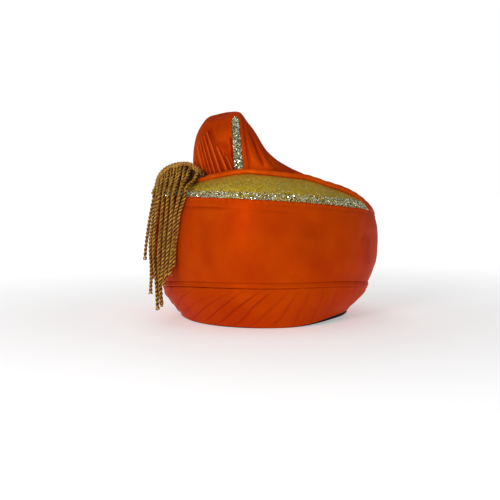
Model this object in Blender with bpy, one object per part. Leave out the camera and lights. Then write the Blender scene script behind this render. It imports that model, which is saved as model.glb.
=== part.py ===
"""A stitched satin turban: pleated lower wrap, side band, gold shoulder, pleated hood and corded tassel.

Metres, +Z up. The front faces -Y and the wearer's right side is at -X. The origin is on the surface
that the turban stands on, at the centre of the oval head opening. Plan angles are in degrees from
the front, positive towards +X. Reach is the distance outside the head opening's oval.
"""

import math

import bmesh
import bpy
from mathutils import Vector

MM = 0.001
GAP = 0.3 * MM  # between neighbouring pieces

# Head opening and lining
HEAD_HALF_WIDTH = 78 * MM
HEAD_HALF_LENGTH = 96.5 * MM
LINING_WALL = 1.5 * MM
LINING_SIDE = 46 * MM  # upright part of the cap
LINING_HEIGHT = 104 * MM
LINING_FULLNESS = 2.6  # exponent of the cap's superellipse

# Lower wrap and the welt above it
WRAP_WALL = 3.0 * MM
WRAP_REACH = 24.0 * MM
SEAM_HEIGHT = 42.5 * MM  # lower edge of the side band at the front
SEAM_DIP = 9.0 * MM  # how far it dips over the ears
WELT_HEIGHT = 3.5 * MM
WELT_WALL = 3.0 * MM
WELT_INSET = 0.4 * MM
WELT_BULGE = 0.3 * MM
HEEL_WIDTH = 4.0 * MM  # flat ring that the wrap stands on
FRONT_LIFT = 6.5 * MM  # the wrap's edge rises here and shows the lining
LINING_LIFT = 3.6 * MM
LIFT_CENTRE = 62.0
LIFT_SPAN = 52.0
PLEAT_COUNT = 48
PLEAT_RISE = 1.3 * MM
PLEAT_SLANT = 22.0  # degrees of plan angle between a pleat's foot and its top

# Side band, gold shoulder and rim piping
BAND_WALL = 2.4 * MM
BAND_REACH = 33.8 * MM
BAND_HEIGHT = 76.5 * MM
BAND_WIDEST = 0.7  # share of its height
SHOULDER_WALL = 1.6 * MM
SHOULDER_TUCK = 4.0 * MM  # hidden behind the band's top edge
SHOULDER_RISE = 23.0 * MM
SHOULDER_INSET = 24.5 * MM
SHOULDER_LEAST = 3.2 * MM  # the crescent ends where the piping stands less than this above the band
PIPING_RADIUS = 2.2 * MM
PIPING_LIFT = 1.2 * MM

# Crown
CROWN_WALL = 2.0 * MM
CROWN_HEIGHT = 134.0 * MM

# Hood
HOOD_SEAT = 0.6 * MM  # over the crown
HOOD_STANDOFF = 0.9 * MM  # behind the piping
HOOD_HEIGHT = 198.3 * MM
HOOD_BASE = 134.0 * MM  # height from which the ridge shares count
HOOD_HALF_WIDTH = 57.5 * MM
HOOD_MIDDLE = -10.0 * MM
HOOD_DEPTH = 92.0 * MM
HOOD_FULLEST = 0.40  # place along the ridge where it is deepest
HOOD_BACK_NARROWING = 0.92
HOOD_LEAN = 0.8  # exponents of the section's bulge, inwards and upwards
HOOD_RISE = 0.85
RIDGE_SETBACK = 36.0 * MM
RIDGE_LENGTH = 2.2  # times the half width
TAIL_SETBACK = 20.0 * MM
FOOT_LEFT = -41.0
FOOT_RIGHT = 27.0
FOLD_DEPTH = 1.5 * MM
PANEL_STEP = 1.3 * MM  # how far the plain panel stands over the folds

# Gold stripe on the hood
STRIPE_WALL = 1.0 * MM
STRIPE_SINK = 1.0 * MM  # depth of the slot that it lies in
STRIPE_WIDTH = 8.6 * MM
STRIPE_AT = 0.430  # place along the hood's ridge
STRIPE_TOP = 0.70  # where it ends on the way up the hood's face
STRIPE_TIP = 0.40  # width of its pointed end, as a share of the rest

# Tassel
CORD_COUNT = 11
CORD_WIDTH = 4.6 * MM
CORD_RELIEF = 1.2 * MM
CORD_NOTCH = 12.0 * MM  # how far the cords part at their ends
TASSEL_STANDOFF = 0.8 * MM

# Share of the band's height, then of the bulge between seam and widest reach.
BAND_PROFILE = (
    # height, bulge
    (0.00, 0.00),
    (0.10, 0.30),
    (0.20, 0.57),
    (0.32, 0.83),
    (0.50, 0.98),
    (0.75, 1.00),
    (1.00, 0.93),
)

# Outline of the lower wrap from its heel to the seam.
WRAP_PROFILE = (
    # reach share, height share
    (0.07, 0.13),
    (0.33, 0.31),
    (0.62, 0.53),
    (0.88, 0.76),
    (1.00, 1.00),
)

# The rim: height of the band's top edge, and rise and inset of the piping from it.
RIM = (
    # angle, top, rise, inset
    (-180.0, 0.660, 0.00, 0.00),
    (-135.0, 0.730, 0.00, 0.00),
    (-105.0, 0.850, 0.05, 0.02),
    (-80.0, 0.960, 0.20, 0.17),
    (-60.0, 1.000, 0.37, 0.37),
    (-40.0, 1.000, 0.55, 0.60),
    (-26.0, 0.998, 0.76, 0.83),
    (-11.0, 0.985, 0.98, 0.98),
    (0.0, 0.970, 0.98, 1.00),
    (12.0, 0.948, 0.95, 0.96),
    (22.0, 0.925, 0.94, 0.84),
    (33.0, 0.895, 0.77, 0.58),
    (43.0, 0.870, 0.64, 0.38),
    (55.0, 0.842, 0.40, 0.20),
    (66.0, 0.808, 0.15, 0.06),
    (78.0, 0.760, 0.00, 0.00),
    (100.0, 0.700, 0.00, 0.00),
    (135.0, 0.660, 0.00, 0.00),
)

# The hood's ridge, and where the section at that place along it stands on the front foot line.
RIDGE = (
    # along, across share, height share, foot share
    (0.00, -0.93, 0.00, 0.00),
    (0.06, -1.00, 0.27, 0.04),
    (0.14, -0.96, 0.59, 0.11),
    (0.22, -0.87, 0.785, 0.19),
    (0.30, -0.73, 0.91, 0.28),
    (0.38, -0.48, 0.985, 0.37),
    (0.46, -0.24, 0.985, 0.43),
    (0.53, -0.13, 0.86, 0.49),
    (0.61, 0.03, 0.66, 0.56),
    (0.70, 0.22, 0.40, 0.64),
    (0.80, 0.46, 0.23, 0.74),
    (0.90, 0.74, 0.11, 0.87),
    (1.00, 1.02, 0.00, 1.00),
)

# Folds of the hood's face: the edge of each, and how high it runs before the plain panel covers it.
FOLDS = (
    # along, top
    (0.055, 1.00),
    (0.085, 1.00),
    (0.118, 1.00),
    (0.150, 1.00),
    (0.180, 1.00),
    (0.213, 1.00),
    (0.245, 1.00),
    (0.283, 0.92),
    (0.330, 0.50),
    (0.368, 0.30),
)

# The tassel's heading, which lies over the rim: a row for each place along it.
HEADING = (
    # along, angle, reach, height
    (0.00, -34.0, 13.6 * MM, 143.0 * MM),
    (0.15, -41.5, 14.5 * MM, 150.0 * MM),
    (0.35, -48.5, 18.5 * MM, 151.3 * MM),
    (0.55, -55.0, 23.5 * MM, 149.5 * MM),
    (0.75, -60.5, 28.0 * MM, 145.0 * MM),
    (0.90, -63.5, 31.0 * MM, 138.5 * MM),
    (1.00, -65.5, 32.5 * MM, 130.0 * MM),
)

# Where its cords hang: plan angle at the rim and at their ends, height of the ends, and their flare.
CORDS = (
    # along, rim angle, end angle, end height, flare
    (0.00, -38.5, -44.5, 50.0 * MM, 0.0 * MM),
    (0.20, -44.0, -48.0, 44.0 * MM, 0.0 * MM),
    (0.35, -49.0, -51.0, 32.0 * MM, 0.0 * MM),
    (0.50, -53.5, -54.5, 12.0 * MM, 0.0 * MM),
    (0.62, -57.0, -58.5, 17.0 * MM, 0.0 * MM),
    (0.80, -61.5, -65.5, 26.0 * MM, 0.5 * MM),
    (0.90, -64.0, -70.5, 34.0 * MM, 1.0 * MM),
    (1.00, -66.5, -80.5, 66.0 * MM, 4.5 * MM),
)

# Steps of the meshes
RING_STEPS = 64
LINING_STEPS = 36
CROWN_RINGS = (1.0, 0.88, 0.7, 0.5, 0.28, 0.0)
LINING_ROWS = (0.0, 0.22, 0.42, 0.62, 0.82, 1.0)
PIPING_SIDES = 6
SHOULDER_STEPS = 40
SHOULDER_ROWS = 4
HOOD_FACE_ROWS = (0.0, 0.02, 0.07, 0.15, 0.24, 0.34, 0.45, 0.56, 0.67, 0.78, 0.89)
HOOD_BACK_ROWS = 5
HOOD_UNDER_ROWS = (0.2, 0.5, 0.8)
HOOD_PLAIN_COLUMNS = 14
TASSEL_ROWS = (0.0, 0.2, 0.45, 0.7, 0.9, 1.0)
FOLD_EDGE = 0.78  # share of a fold's width where it steps down


def smooth_step(value, low, high):
    """0 below low, 1 above high, and a smooth rise between them."""
    share = min(1.0, max(0.0, (value - low) / (high - low)))
    return share * share * (3 - 2 * share)


def along_table(table, column, at, period=0.0):
    """Smooth curve through one column of a table, whose first column rises."""
    rows = [(row[0], row[column]) for row in table]
    if period:
        at = (at - rows[0][0]) % period + rows[0][0]
        before = [(rows[-1][0] - period, rows[-1][1])]
        rows = before + rows + [(x + period, y) for x, y in rows[:2]]
    else:
        at = min(max(at, rows[0][0]), rows[-1][0])
    last = len(rows) - 1

    def slope(k):
        low, high = max(0, k - 1), min(last, k + 1)
        return (rows[high][1] - rows[low][1]) / (rows[high][0] - rows[low][0])

    i = next(k for k in range(last) if at <= rows[k + 1][0])
    (x0, y0), (x1, y1) = rows[i], rows[i + 1]
    width = x1 - x0
    t = (at - x0) / width
    rise = (2 * t**3 - 3 * t**2 + 1) * y0 + (3 * t**2 - 2 * t**3) * y1
    return rise + width * ((t**3 - 2 * t**2 + t) * slope(i) + (t**3 - t**2) * slope(i + 1))


def plan_radius(angle, reach):
    """Distance from the middle of the head opening to the oval that lies reach outside it."""
    turn = math.radians(angle)
    across = math.sin(turn) / (HEAD_HALF_WIDTH + reach)
    along = math.cos(turn) / (HEAD_HALF_LENGTH + reach)
    return 1 / math.hypot(across, along)


def polar(angle, radius, height):
    turn = math.radians(angle)
    return Vector((radius * math.sin(turn), -radius * math.cos(turn), height))


def placed(angle, reach, height):
    return polar(angle, plan_radius(angle, reach), height)


def offset_line(points, distance):
    """A line of (reach, height) points moved sideways, to the left of its direction."""
    moved = []
    for i, (reach, height) in enumerate(points):
        before, after = points[max(0, i - 1)], points[min(len(points) - 1, i + 1)]
        run, rise = after[0] - before[0], after[1] - before[1]
        length = math.hypot(run, rise)
        moved.append((reach - rise / length * distance, height + run / length * distance))
    return moved


# The forms that several pieces share


def seam_height(angle):
    return SEAM_HEIGHT - SEAM_DIP * math.sin(math.radians(angle)) ** 4


def rim_height(angle):
    return SEAM_HEIGHT + BAND_HEIGHT * along_table(RIM, 1, angle, 360.0)


def piping_centre(angle):
    """(radius, height) of the piping's centreline."""
    rise = PIPING_LIFT + SHOULDER_RISE * along_table(RIM, 2, angle, 360.0)
    edge = BAND_WALL + GAP + PIPING_RADIUS
    inset = edge + SHOULDER_INSET * max(0.0, along_table(RIM, 3, angle, 360.0))
    return plan_radius(angle, band_reach(1.0)) - inset, rim_height(angle) + rise


def band_reach(share):
    bulge = along_table(BAND_PROFILE, 1, share)
    return WRAP_REACH + GAP + (BAND_REACH - WRAP_REACH - GAP) * bulge


def crown_height(x, y):
    """Height of the crown's top at a place in plan: a tilted dome inside the piping."""
    angle = math.degrees(math.atan2(x, -y))
    radius, height = piping_centre(angle)
    edge = radius - PIPING_RADIUS - GAP
    share = min(1.0, math.hypot(x, y) / edge) ** 2
    return height * share + CROWN_HEIGHT * (1 - share)


# Building closed bodies


def finished(name, mesh, material):
    """A named object from a bmesh whose coincident points are made one."""
    bmesh.ops.remove_doubles(mesh, verts=mesh.verts, dist=0.01 * MM)
    bmesh.ops.recalc_face_normals(mesh, faces=mesh.faces)
    data = bpy.data.meshes.new(name)
    mesh.to_mesh(data)
    mesh.free()
    data.materials.append(material)
    data.shade_smooth()
    data.set_sharp_from_angle(angle=math.radians(40))
    made = bpy.data.objects.new(name, data)
    bpy.context.scene.collection.objects.link(made)
    return made


def shell(name, outer, inner, material, around):
    """A wall between two grids of points, each a list of columns, closed along every edge."""
    mesh = bmesh.new()
    grids = [[[mesh.verts.new(p) for p in column] for column in grid] for grid in (outer, inner)]
    count, rows = len(outer), len(outer[0])
    pairs = [(i, (i + 1) % count) for i in range(count if around else count - 1)]
    for face, back in ((grids[0], False), (grids[1], True)):
        for i, j in pairs:
            for r in range(rows - 1):
                corners = (face[i][r], face[j][r], face[j][r + 1], face[i][r + 1])
                mesh.faces.new(corners[::-1] if back else corners)
    first, second = grids
    for r in (0, rows - 1):
        for i, j in pairs:
            mesh.faces.new((first[i][r], first[j][r], second[j][r], second[i][r]))
    if not around:
        for i in (0, count - 1):
            for r in range(rows - 1):
                mesh.faces.new((first[i][r], first[i][r + 1], second[i][r + 1], second[i][r]))
    return finished(name, mesh, material)


def loft(name, rings, material, around):
    """A body through closed rings of points; unless it runs around, its end rings come to a point."""
    mesh = bmesh.new()
    made = [[mesh.verts.new(point) for point in ring] for ring in rings]
    for here, after in zip(made, made[1:] + (made[:1] if around else [])):
        for i in range(len(here)):
            j = (i + 1) % len(here)
            mesh.faces.new((here[i], after[i], after[j], here[j]))
    return finished(name, mesh, material)


def ring_angles(count):
    return [360.0 * i / count - 180.0 for i in range(count)]


def spread(start, end, count):
    return [start + (end - start) * i / (count - 1) for i in range(count)]


def surface_material(name, colour, roughness, metallic=0.0):
    made = bpy.data.materials.new(name)
    made.use_nodes = True
    shader = made.node_tree.nodes["Principled BSDF"]
    shader.inputs["Base Color"].default_value = (*colour, 1.0)
    shader.inputs["Roughness"].default_value = roughness
    shader.inputs["Metallic"].default_value = metallic
    return made


# The pieces


def edge_lift(angle):
    """Share of the lift of the lower edge on the right of the front."""
    return 1 - smooth_step(abs(angle - LIFT_CENTRE), 0.2 * LIFT_SPAN, LIFT_SPAN)


def lining_point(angle, row, swell):
    """A point of the cap that takes the head; swell moves it out by the wall."""
    side = LINING_ROWS[1]
    if row <= side:
        low = LINING_LIFT * edge_lift(angle)
        return placed(angle, swell, low + (LINING_SIDE - low) * row / side)
    turn = math.pi / 2 * (row - side) / (1 - side)
    share = math.cos(turn) ** (2 / LINING_FULLNESS) if row < 1 else 0.0
    height = (LINING_HEIGHT + swell - LINING_SIDE) * math.sin(turn) ** (2 / LINING_FULLNESS)
    return polar(angle, plan_radius(angle, swell) * share, LINING_SIDE + height)


def make_lining(material):
    angles = ring_angles(LINING_STEPS)
    walls = [
        [[lining_point(angle, row, swell) for row in LINING_ROWS] for angle in angles]
        for swell in (LINING_WALL, 0.0)
    ]
    return shell("head_lining", walls[0], walls[1], material, True)


def wrap_section(angle):
    """Outer and inner lines of the lower wrap as (reach, height), heel first."""
    lift = FRONT_LIFT * edge_lift(angle)
    top = seam_height(angle) - WELT_HEIGHT - 2 * GAP
    start = LINING_WALL + GAP
    outer = [(start, 0.0), (start + HEEL_WIDTH, 0.0)]
    for reach, height in WRAP_PROFILE:
        outer.append((start + HEEL_WIDTH + (WRAP_REACH - start - HEEL_WIDTH) * reach, top * height))
    inner = offset_line(outer[1:], WRAP_WALL)
    inner[0] = (start, WRAP_WALL)
    inner[-1] = (outer[-1][0] - WRAP_WALL, top)
    inner.insert(1, ((inner[0][0] + inner[1][0]) / 2, (inner[0][1] + inner[1][1]) / 2))
    return [
        [(reach, height + lift * (1 - height / top)) for reach, height in line]
        for line in (outer, inner)
    ]


def make_lower_wrap(material):
    """A ring of slanting pleats; the mesh's columns follow the pleats."""
    pitch = 360.0 / PLEAT_COUNT
    outer, inner = [], []
    for k in range(2 * PLEAT_COUNT):
        on_edge = k % 2
        foot = pitch * (k // 2 + (FOLD_EDGE if on_edge else 0.0))
        columns = ([], [])
        for row in range(len(WRAP_PROFILE) + 2):
            share = max(0, row - 1) / len(WRAP_PROFILE)
            angle = (foot + PLEAT_SLANT * (share - 0.5)) % 360.0 - 180.0
            face, back = wrap_section(angle)
            swell = PLEAT_RISE * smooth_step(share, 0.0, 0.25) if on_edge else 0.0
            drop = PLEAT_RISE * 0.6 if row > 1 else 0.0
            columns[0].append(placed(angle, face[row][0] + swell - drop, face[row][1]))
            columns[1].append(placed(angle, *back[row]))
        outer.append(columns[0])
        inner.append(columns[1])
    return shell("lower_wrap", outer, inner, material, True)


def make_welt(material):
    """The narrow fold between the lower wrap and the side band."""
    face = WRAP_REACH - WELT_INSET
    outer, inner = [], []
    for angle in ring_angles(RING_STEPS):
        top = seam_height(angle) - GAP
        heights = (top - WELT_HEIGHT, top - WELT_HEIGHT / 2, top)
        bulge = (0.0, WELT_BULGE, 0.0)
        outer.append([placed(angle, face + out, height) for out, height in zip(bulge, heights)])
        inner.append([placed(angle, face - WELT_WALL, height) for height in heights])
    return shell("seam_welt", outer, inner, material, True)


def make_side_band(material):
    outer, inner = [], []
    for angle in ring_angles(RING_STEPS):
        low, high = seam_height(angle), rim_height(angle)
        line = [(band_reach(share), low + (high - low) * share) for share, _ in BAND_PROFILE]
        back = offset_line(line, BAND_WALL)
        back[0] = (line[0][0] - BAND_WALL, low)
        back[-1] = (line[-1][0] - BAND_WALL, high)
        outer.append([placed(angle, *point) for point in line])
        inner.append([placed(angle, *point) for point in back])
    return shell("side_band", outer, inner, material, True)


def shoulder_line(angle):
    """(radius, height) points from behind the band's top edge up to the piping."""
    radius, height = piping_centre(angle)
    start = plan_radius(angle, band_reach(1.0)) - BAND_WALL - GAP
    low = rim_height(angle)
    centre = Vector((radius, height))
    first = Vector((start, low))
    way = (first - centre).normalized()
    stop = centre + way * (PIPING_RADIUS + GAP)
    points = [(start, low - SHOULDER_TUCK)]
    for share in spread(0.0, 1.0, SHOULDER_ROWS):
        turn = math.pi / 2 * share
        across = 0.5 * share + 0.5 * (1 - math.cos(turn))
        upward = 0.5 * share + 0.5 * math.sin(turn)
        points.append((start + (stop.x - start) * across, low + (stop.y - low) * upward))
    return points


def shoulder_span():
    """First and last angle at which the piping stands clear of the band's top edge."""
    clear = [
        angle
        for angle in spread(-150.0, 150.0, 301)
        if piping_centre(angle)[1] - rim_height(angle) > SHOULDER_LEAST
    ]
    return clear[0], clear[-1]


def make_shoulder(material):
    """The gold crescent between the side band and the piping."""
    outer, inner = [], []
    for angle in spread(*shoulder_span(), SHOULDER_STEPS):
        line = shoulder_line(angle)
        back = offset_line(line, SHOULDER_WALL)
        back[0] = (line[0][0] - SHOULDER_WALL, line[0][1])
        outer.append([polar(angle, *point) for point in line])
        inner.append([polar(angle, *point) for point in back])
    return shell("gold_shoulder", outer, inner, material, False)


def make_piping(material):
    """A corded edge that runs right round the rim."""
    rings = []
    for angle in ring_angles(RING_STEPS):
        radius, height = piping_centre(angle)
        turns = [2 * math.pi * side / PIPING_SIDES for side in range(PIPING_SIDES)]
        rings.append(
            [
                polar(angle, radius + PIPING_RADIUS * math.cos(t), height + PIPING_RADIUS * math.sin(t))
                for t in turns
            ]
        )
    return loft("rim_piping", rings, material, True)


def make_crown(material):
    outer, inner = [], []
    for angle in ring_angles(RING_STEPS * 2 // 3):
        radius = piping_centre(angle)[0] - PIPING_RADIUS - GAP
        columns = ([], [])
        for share in CROWN_RINGS:
            point = polar(angle, radius * share, 0.0)
            point.z = crown_height(point.x, point.y)
            columns[0].append(point)
            columns[1].append(point - Vector((0, 0, CROWN_WALL)))
        outer.append(columns[0])
        inner.append(columns[1])
    return shell("crown", outer, inner, material, True)


def seated(point):
    """The point's place on the hood's underside, just over the crown."""
    return Vector((point.x, point.y, crown_height(point.x, point.y) + HOOD_SEAT))


def hood_fullness(along):
    """Share of the full depth from front to back: steep at the left end, drawn out at the right."""
    if along < HOOD_FULLEST:
        return math.sqrt(1 - (1 - along / HOOD_FULLEST) ** 2)
    return max(0.0, 1 - ((along - HOOD_FULLEST) / (1 - HOOD_FULLEST)) ** 2) ** 0.8


def hood_frame(along):
    """Front foot, ridge and back foot of the hood's section at a place along its ridge."""
    angle = FOOT_LEFT + (FOOT_RIGHT - FOOT_LEFT) * along_table(RIDGE, 3, along)
    fullness = hood_fullness(along)
    radius = piping_centre(angle)[0] - PIPING_RADIUS - HOOD_STANDOFF
    front = polar(angle, radius - TAIL_SETBACK * smooth_step(along, 0.72, 1.0), 0.0)
    back = Vector((front.x * HOOD_BACK_NARROWING, front.y + HOOD_DEPTH * fullness, 0.0))
    ridge = Vector((HOOD_MIDDLE + HOOD_HALF_WIDTH * along_table(RIDGE, 1, along), 0.0, 0.0))
    ridge.y = front.y + RIDGE_SETBACK * fullness
    ridge.z = HOOD_BASE + (HOOD_HEIGHT - HOOD_BASE) * along_table(RIDGE, 2, along)
    front, back = seated(front), seated(back)
    ridge.z = max(ridge.z, seated(ridge).z)
    return (front, ridge, back) if fullness else (front, front, front)


def stripe_half():
    """Half the stripe's width as a share of the ridge's length."""
    return STRIPE_WIDTH / (2 * RIDGE_LENGTH * HOOD_HALF_WIDTH)


def fold_depth(along, up):
    """Depth of the hood's face below its envelope: the fan folds and the stripe's slot."""
    far_side = 1 - smooth_step(up, 1.2, 1.8)
    up = min(up, 1.0)
    depth = 0.0
    low = 0.0
    for edge, top in FOLDS:
        if low <= along < edge:
            saw = (along - low) / (edge - low)
            saw = 1 - saw / FOLD_EDGE if saw < FOLD_EDGE else (saw - FOLD_EDGE) / (1 - FOLD_EDGE)
            covered = smooth_step(up, top - 0.08, top + 0.02) if top < 1 else 0.0
            depth = (PANEL_STEP + FOLD_DEPTH * saw) * (1 - covered)
            break
        low = edge
    depth *= smooth_step(along, 0.0, 0.05)
    if abs(along - STRIPE_AT) <= stripe_half() and up <= STRIPE_TOP:
        depth = STRIPE_SINK
    return depth * far_side


def hood_point(along, up, inset):
    """A point of the hood: up runs from the front foot, 0, over the ridge, 1, to the back foot, 2."""
    front, ridge, back = hood_frame(along)
    core = seated((front + back) / 2)
    foot = front if up <= 1 else back
    turn = math.pi / 2 * (up if up <= 1 else 2 - up)
    inwards, rise = 1 - math.cos(turn) ** HOOD_LEAN, math.sin(turn) ** HOOD_RISE
    sideways = rise if up <= 1 else inwards
    point = Vector(
        (
            foot.x + (ridge.x - foot.x) * sideways,
            foot.y + (ridge.y - foot.y) * inwards,
            foot.z + (ridge.z - foot.z) * rise,
        )
    )
    inward = core - point
    depth = min(inset + fold_depth(along, up), inward.length)
    point = point + inward.normalized() * depth
    return seated(point) if up in (0, 2) else point


def hood_columns():
    """Places along the ridge: two for each fold, the stripe's slot, then even steps."""
    columns = [0.0, 0.025]
    low = FOLDS[0][0]
    for edge, _ in FOLDS[1:]:
        columns += [low, low + (edge - low) * FOLD_EDGE]
        low = edge
    half = stripe_half()
    slot = [STRIPE_AT + half * share for share in (-1.15, -1.0, 0.0, 1.0, 1.15)]
    columns += [low, (low + slot[0]) / 2] + slot
    return columns + spread(slot[-1], 1.0, HOOD_PLAIN_COLUMNS + 1)[1:]


def hood_rows():
    return [*HOOD_FACE_ROWS, *(1 + i / HOOD_BACK_ROWS for i in range(HOOD_BACK_ROWS + 1))]


def make_hood(material):
    """The padded peak, with its underside shaped to the crown."""
    rings = []
    for along in hood_columns():
        ring = [hood_point(along, up, 0.0) for up in hood_rows()]
        front, back = ring[0], ring[-1]
        under = [seated(back.lerp(front, share)) for share in HOOD_UNDER_ROWS]
        rings.append(ring + under)
    return loft("pleated_hood", rings, material, False)


def make_stripe(material):
    """A flat band laid in the slot of the hood's face, from foot to ridge."""
    half = stripe_half() * 0.93
    rows = [up for up in HOOD_FACE_ROWS if 0 < up < STRIPE_TOP]
    widths = [half] * (len(rows) - 1) + [half * STRIPE_TIP]
    grids = [
        [
            [hood_point(STRIPE_AT + width * side, up, -lift) for up, width in zip(rows, widths)]
            for side in (-1.0, 0.0, 1.0)
        ]
        for lift in (GAP + STRIPE_WALL, GAP)
    ]
    return shell("gold_stripe", grids[0], grids[1], material, False)


def clear_radius(angle, height):
    """Radius of the side band, shoulder or piping at a height, for what hangs in front of them."""
    radius, centre = piping_centre(angle)
    rim = rim_height(angle)
    if height > centre:
        return radius + PIPING_RADIUS
    if height > rim:
        start = plan_radius(angle, band_reach(1.0))
        share = (height - rim) / (centre - rim)
        return start - (start - radius - PIPING_RADIUS) * (1 - math.sqrt(1 - share**2))
    low = seam_height(angle)
    share = max(BAND_WIDEST, (height - low) / (rim - low))
    return plan_radius(angle, band_reach(share))


def tassel_section(along, relief, notch):
    """Outer and inner points of the tassel at a place along its heading, top first."""
    head_angle, reach, crest = (along_table(HEADING, column, along) for column in (1, 2, 3))
    rim_angle, end_angle, end, flare = (along_table(CORDS, column, along) for column in (1, 2, 3, 4))
    end += notch
    crest_radius = plan_radius(head_angle, reach)
    piping, centre = piping_centre(head_angle)
    seat = min(centre + PIPING_RADIUS + 2 * GAP, crest - CORD_WIDTH / 2)
    back = crest_radius - CORD_WIDTH * 0.7
    over = max(piping + PIPING_RADIUS + TASSEL_STANDOFF, back + CORD_WIDTH / 4)
    face = max(crest_radius + CORD_WIDTH * 0.5, over + CORD_WIDTH * 0.6)
    outer = [
        polar(head_angle, back, seat + (crest - seat) * 0.6),
        polar(head_angle, crest_radius - CORD_WIDTH / 4, crest + (relief - CORD_RELIEF) / 2),
        polar(head_angle, face + relief, seat + (crest - seat) * 0.4),
    ]
    inner = [
        polar(head_angle, back, seat),
        polar(head_angle, over, seat),
        polar(head_angle, over, centre),
    ]
    rim = rim_height(rim_angle)
    for share in TASSEL_ROWS:
        height = rim + (end - rim) * share
        angle = rim_angle + (end_angle - rim_angle) * share
        hang = clear_radius(angle, height) + TASSEL_STANDOFF + flare * share
        inner.append(polar(angle, hang, height))
        outer.append(polar(angle, hang + CORD_WIDTH - CORD_RELIEF + relief, height))
    return outer, inner


def make_tassel(material):
    """Cords side by side, fused to a heading that lies over the rim."""
    outer, inner = [], []
    for k in range(2 * CORD_COUNT + 1):
        crest = k % 2
        middle = 0 < k < 2 * CORD_COUNT
        notch = CORD_NOTCH if middle and not crest else 0.0
        sections = tassel_section(k / (2 * CORD_COUNT), CORD_RELIEF if crest else 0.0, notch)
        outer.append(sections[0])
        inner.append(sections[1])
    return shell("tassel", outer, inner, material, False)


def main():
    for old in list(bpy.data.objects):
        bpy.data.objects.remove(old)
    satin = surface_material("orange_satin", (0.72, 0.13, 0.01), 0.4)
    gold = surface_material("gold_lame", (0.55, 0.43, 0.14), 0.35, 0.8)
    cord = surface_material("gold_cord", (0.40, 0.27, 0.06), 0.45, 0.5)
    lining = surface_material("dark_lining", (0.03, 0.02, 0.015), 0.9)
    make_lining(lining)
    make_lower_wrap(satin)
    make_welt(satin)
    make_side_band(satin)
    make_shoulder(gold)
    make_piping(satin)
    make_crown(satin)
    make_hood(satin)
    make_stripe(gold)
    make_tassel(cord)


main()
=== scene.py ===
"""Looks of the stitched satin turban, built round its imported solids.

Metres, +Z up, front at -Y and the wearer's right side at -X, as in the solids. Plan angles are in
degrees from the front, positive towards +X. Reach is the distance outside the head opening's oval.
"""

import functools
import math
import random

import bmesh
import bpy
import numpy as np
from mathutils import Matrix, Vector, noise


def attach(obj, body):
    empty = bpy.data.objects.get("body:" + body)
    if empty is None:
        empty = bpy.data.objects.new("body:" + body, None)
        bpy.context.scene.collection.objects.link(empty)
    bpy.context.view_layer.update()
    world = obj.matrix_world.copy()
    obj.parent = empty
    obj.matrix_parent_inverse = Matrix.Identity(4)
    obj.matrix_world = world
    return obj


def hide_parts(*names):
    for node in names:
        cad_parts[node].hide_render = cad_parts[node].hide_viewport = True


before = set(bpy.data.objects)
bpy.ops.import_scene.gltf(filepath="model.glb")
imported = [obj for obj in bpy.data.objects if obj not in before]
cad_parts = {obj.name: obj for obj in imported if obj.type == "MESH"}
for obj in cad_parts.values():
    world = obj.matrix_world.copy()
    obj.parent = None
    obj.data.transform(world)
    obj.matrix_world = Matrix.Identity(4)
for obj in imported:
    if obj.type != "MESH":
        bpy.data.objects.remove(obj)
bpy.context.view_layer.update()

MM = 0.001
GAP = 0.3 * MM


def in_mm(columns, *rows):
    """A table whose named columns are given in millimetres, as metres."""
    return tuple(
        tuple(cell * MM if k in columns else cell for k, cell in enumerate(row)) for row in rows
    )


# The solids' own sizes
HEAD_HALF_WIDTH = 78 * MM
HEAD_HALF_LENGTH = 96.5 * MM
LINING_WALL = 1.5 * MM
LINING_SIDE = 46 * MM
LINING_HEIGHT = 104 * MM
LINING_FULLNESS = 2.6
LINING_BEND = 0.22
LINING_FLARE = 2.1 * MM
WRAP_REACH = 24.0 * MM
SEAM_HEIGHT = 42.5 * MM
SEAM_DIP = 9.0 * MM
WELT_HEIGHT = 3.5 * MM
WELT_WALL = 3.0 * MM
HEEL_WIDTH = 4.0 * MM
FRONT_LIFT = 6.5 * MM
LINING_LIFT = 3.6 * MM
LIFT_CENTRE = 62.0
LIFT_SPAN = 52.0
BAND_WALL = 2.4 * MM
BAND_REACH = 33.8 * MM
BAND_HEIGHT = 76.5 * MM
BAND_WIDEST = 0.7
SHOULDER_WALL = 1.6 * MM
SHOULDER_TUCK = 4.0 * MM
SHOULDER_RISE = 23.0 * MM
SHOULDER_INSET = 24.5 * MM
SHOULDER_LEAST = 3.2 * MM
SHOULDER_LAST = 67.5
SHOULDER_ROWS = 20
TUCK_ROWS = 4
PIPING_RADIUS = 2.2 * MM
PIPING_LIFT = 1.2 * MM
PIPING_SIDES = 16
CROWN_WALL = 2.0 * MM
CROWN_HEIGHT = 134.0 * MM
HOOD_SEAT = -0.3 * MM
HOOD_STANDOFF = 0.9 * MM
HOOD_HEIGHT = 198.3 * MM
HOOD_BASE = 134.0 * MM
HOOD_HALF_WIDTH = 57.5 * MM
HOOD_MIDDLE = -10.0 * MM
HOOD_DEPTH = 92.0 * MM
HOOD_FULLEST = 0.4
HOOD_BACK_NARROWING = 0.92
HOOD_LEAN = 0.8
HOOD_RISE = 0.85
RIDGE_SETBACK = 36.0 * MM
TAIL_SETBACK = 20.0 * MM
FOOT_LEFT = -41.0
FOOT_RIGHT = 27.0
STRIPE_WIDTH = 8.6 * MM
STRIPE_AT = 0.43
STRIPE_TOP = 0.7
FACE_ROWS = 108
BACK_ROWS = 26
TASSEL_STANDOFF = 0.8 * MM

BAND_PROFILE = (
    # height, bulge
    (0, 0),
    (0.1, 0.3),
    (0.2, 0.57),
    (0.32, 0.83),
    (0.5, 0.98),
    (0.75, 1),
    (1, 0.93),
)

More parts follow.
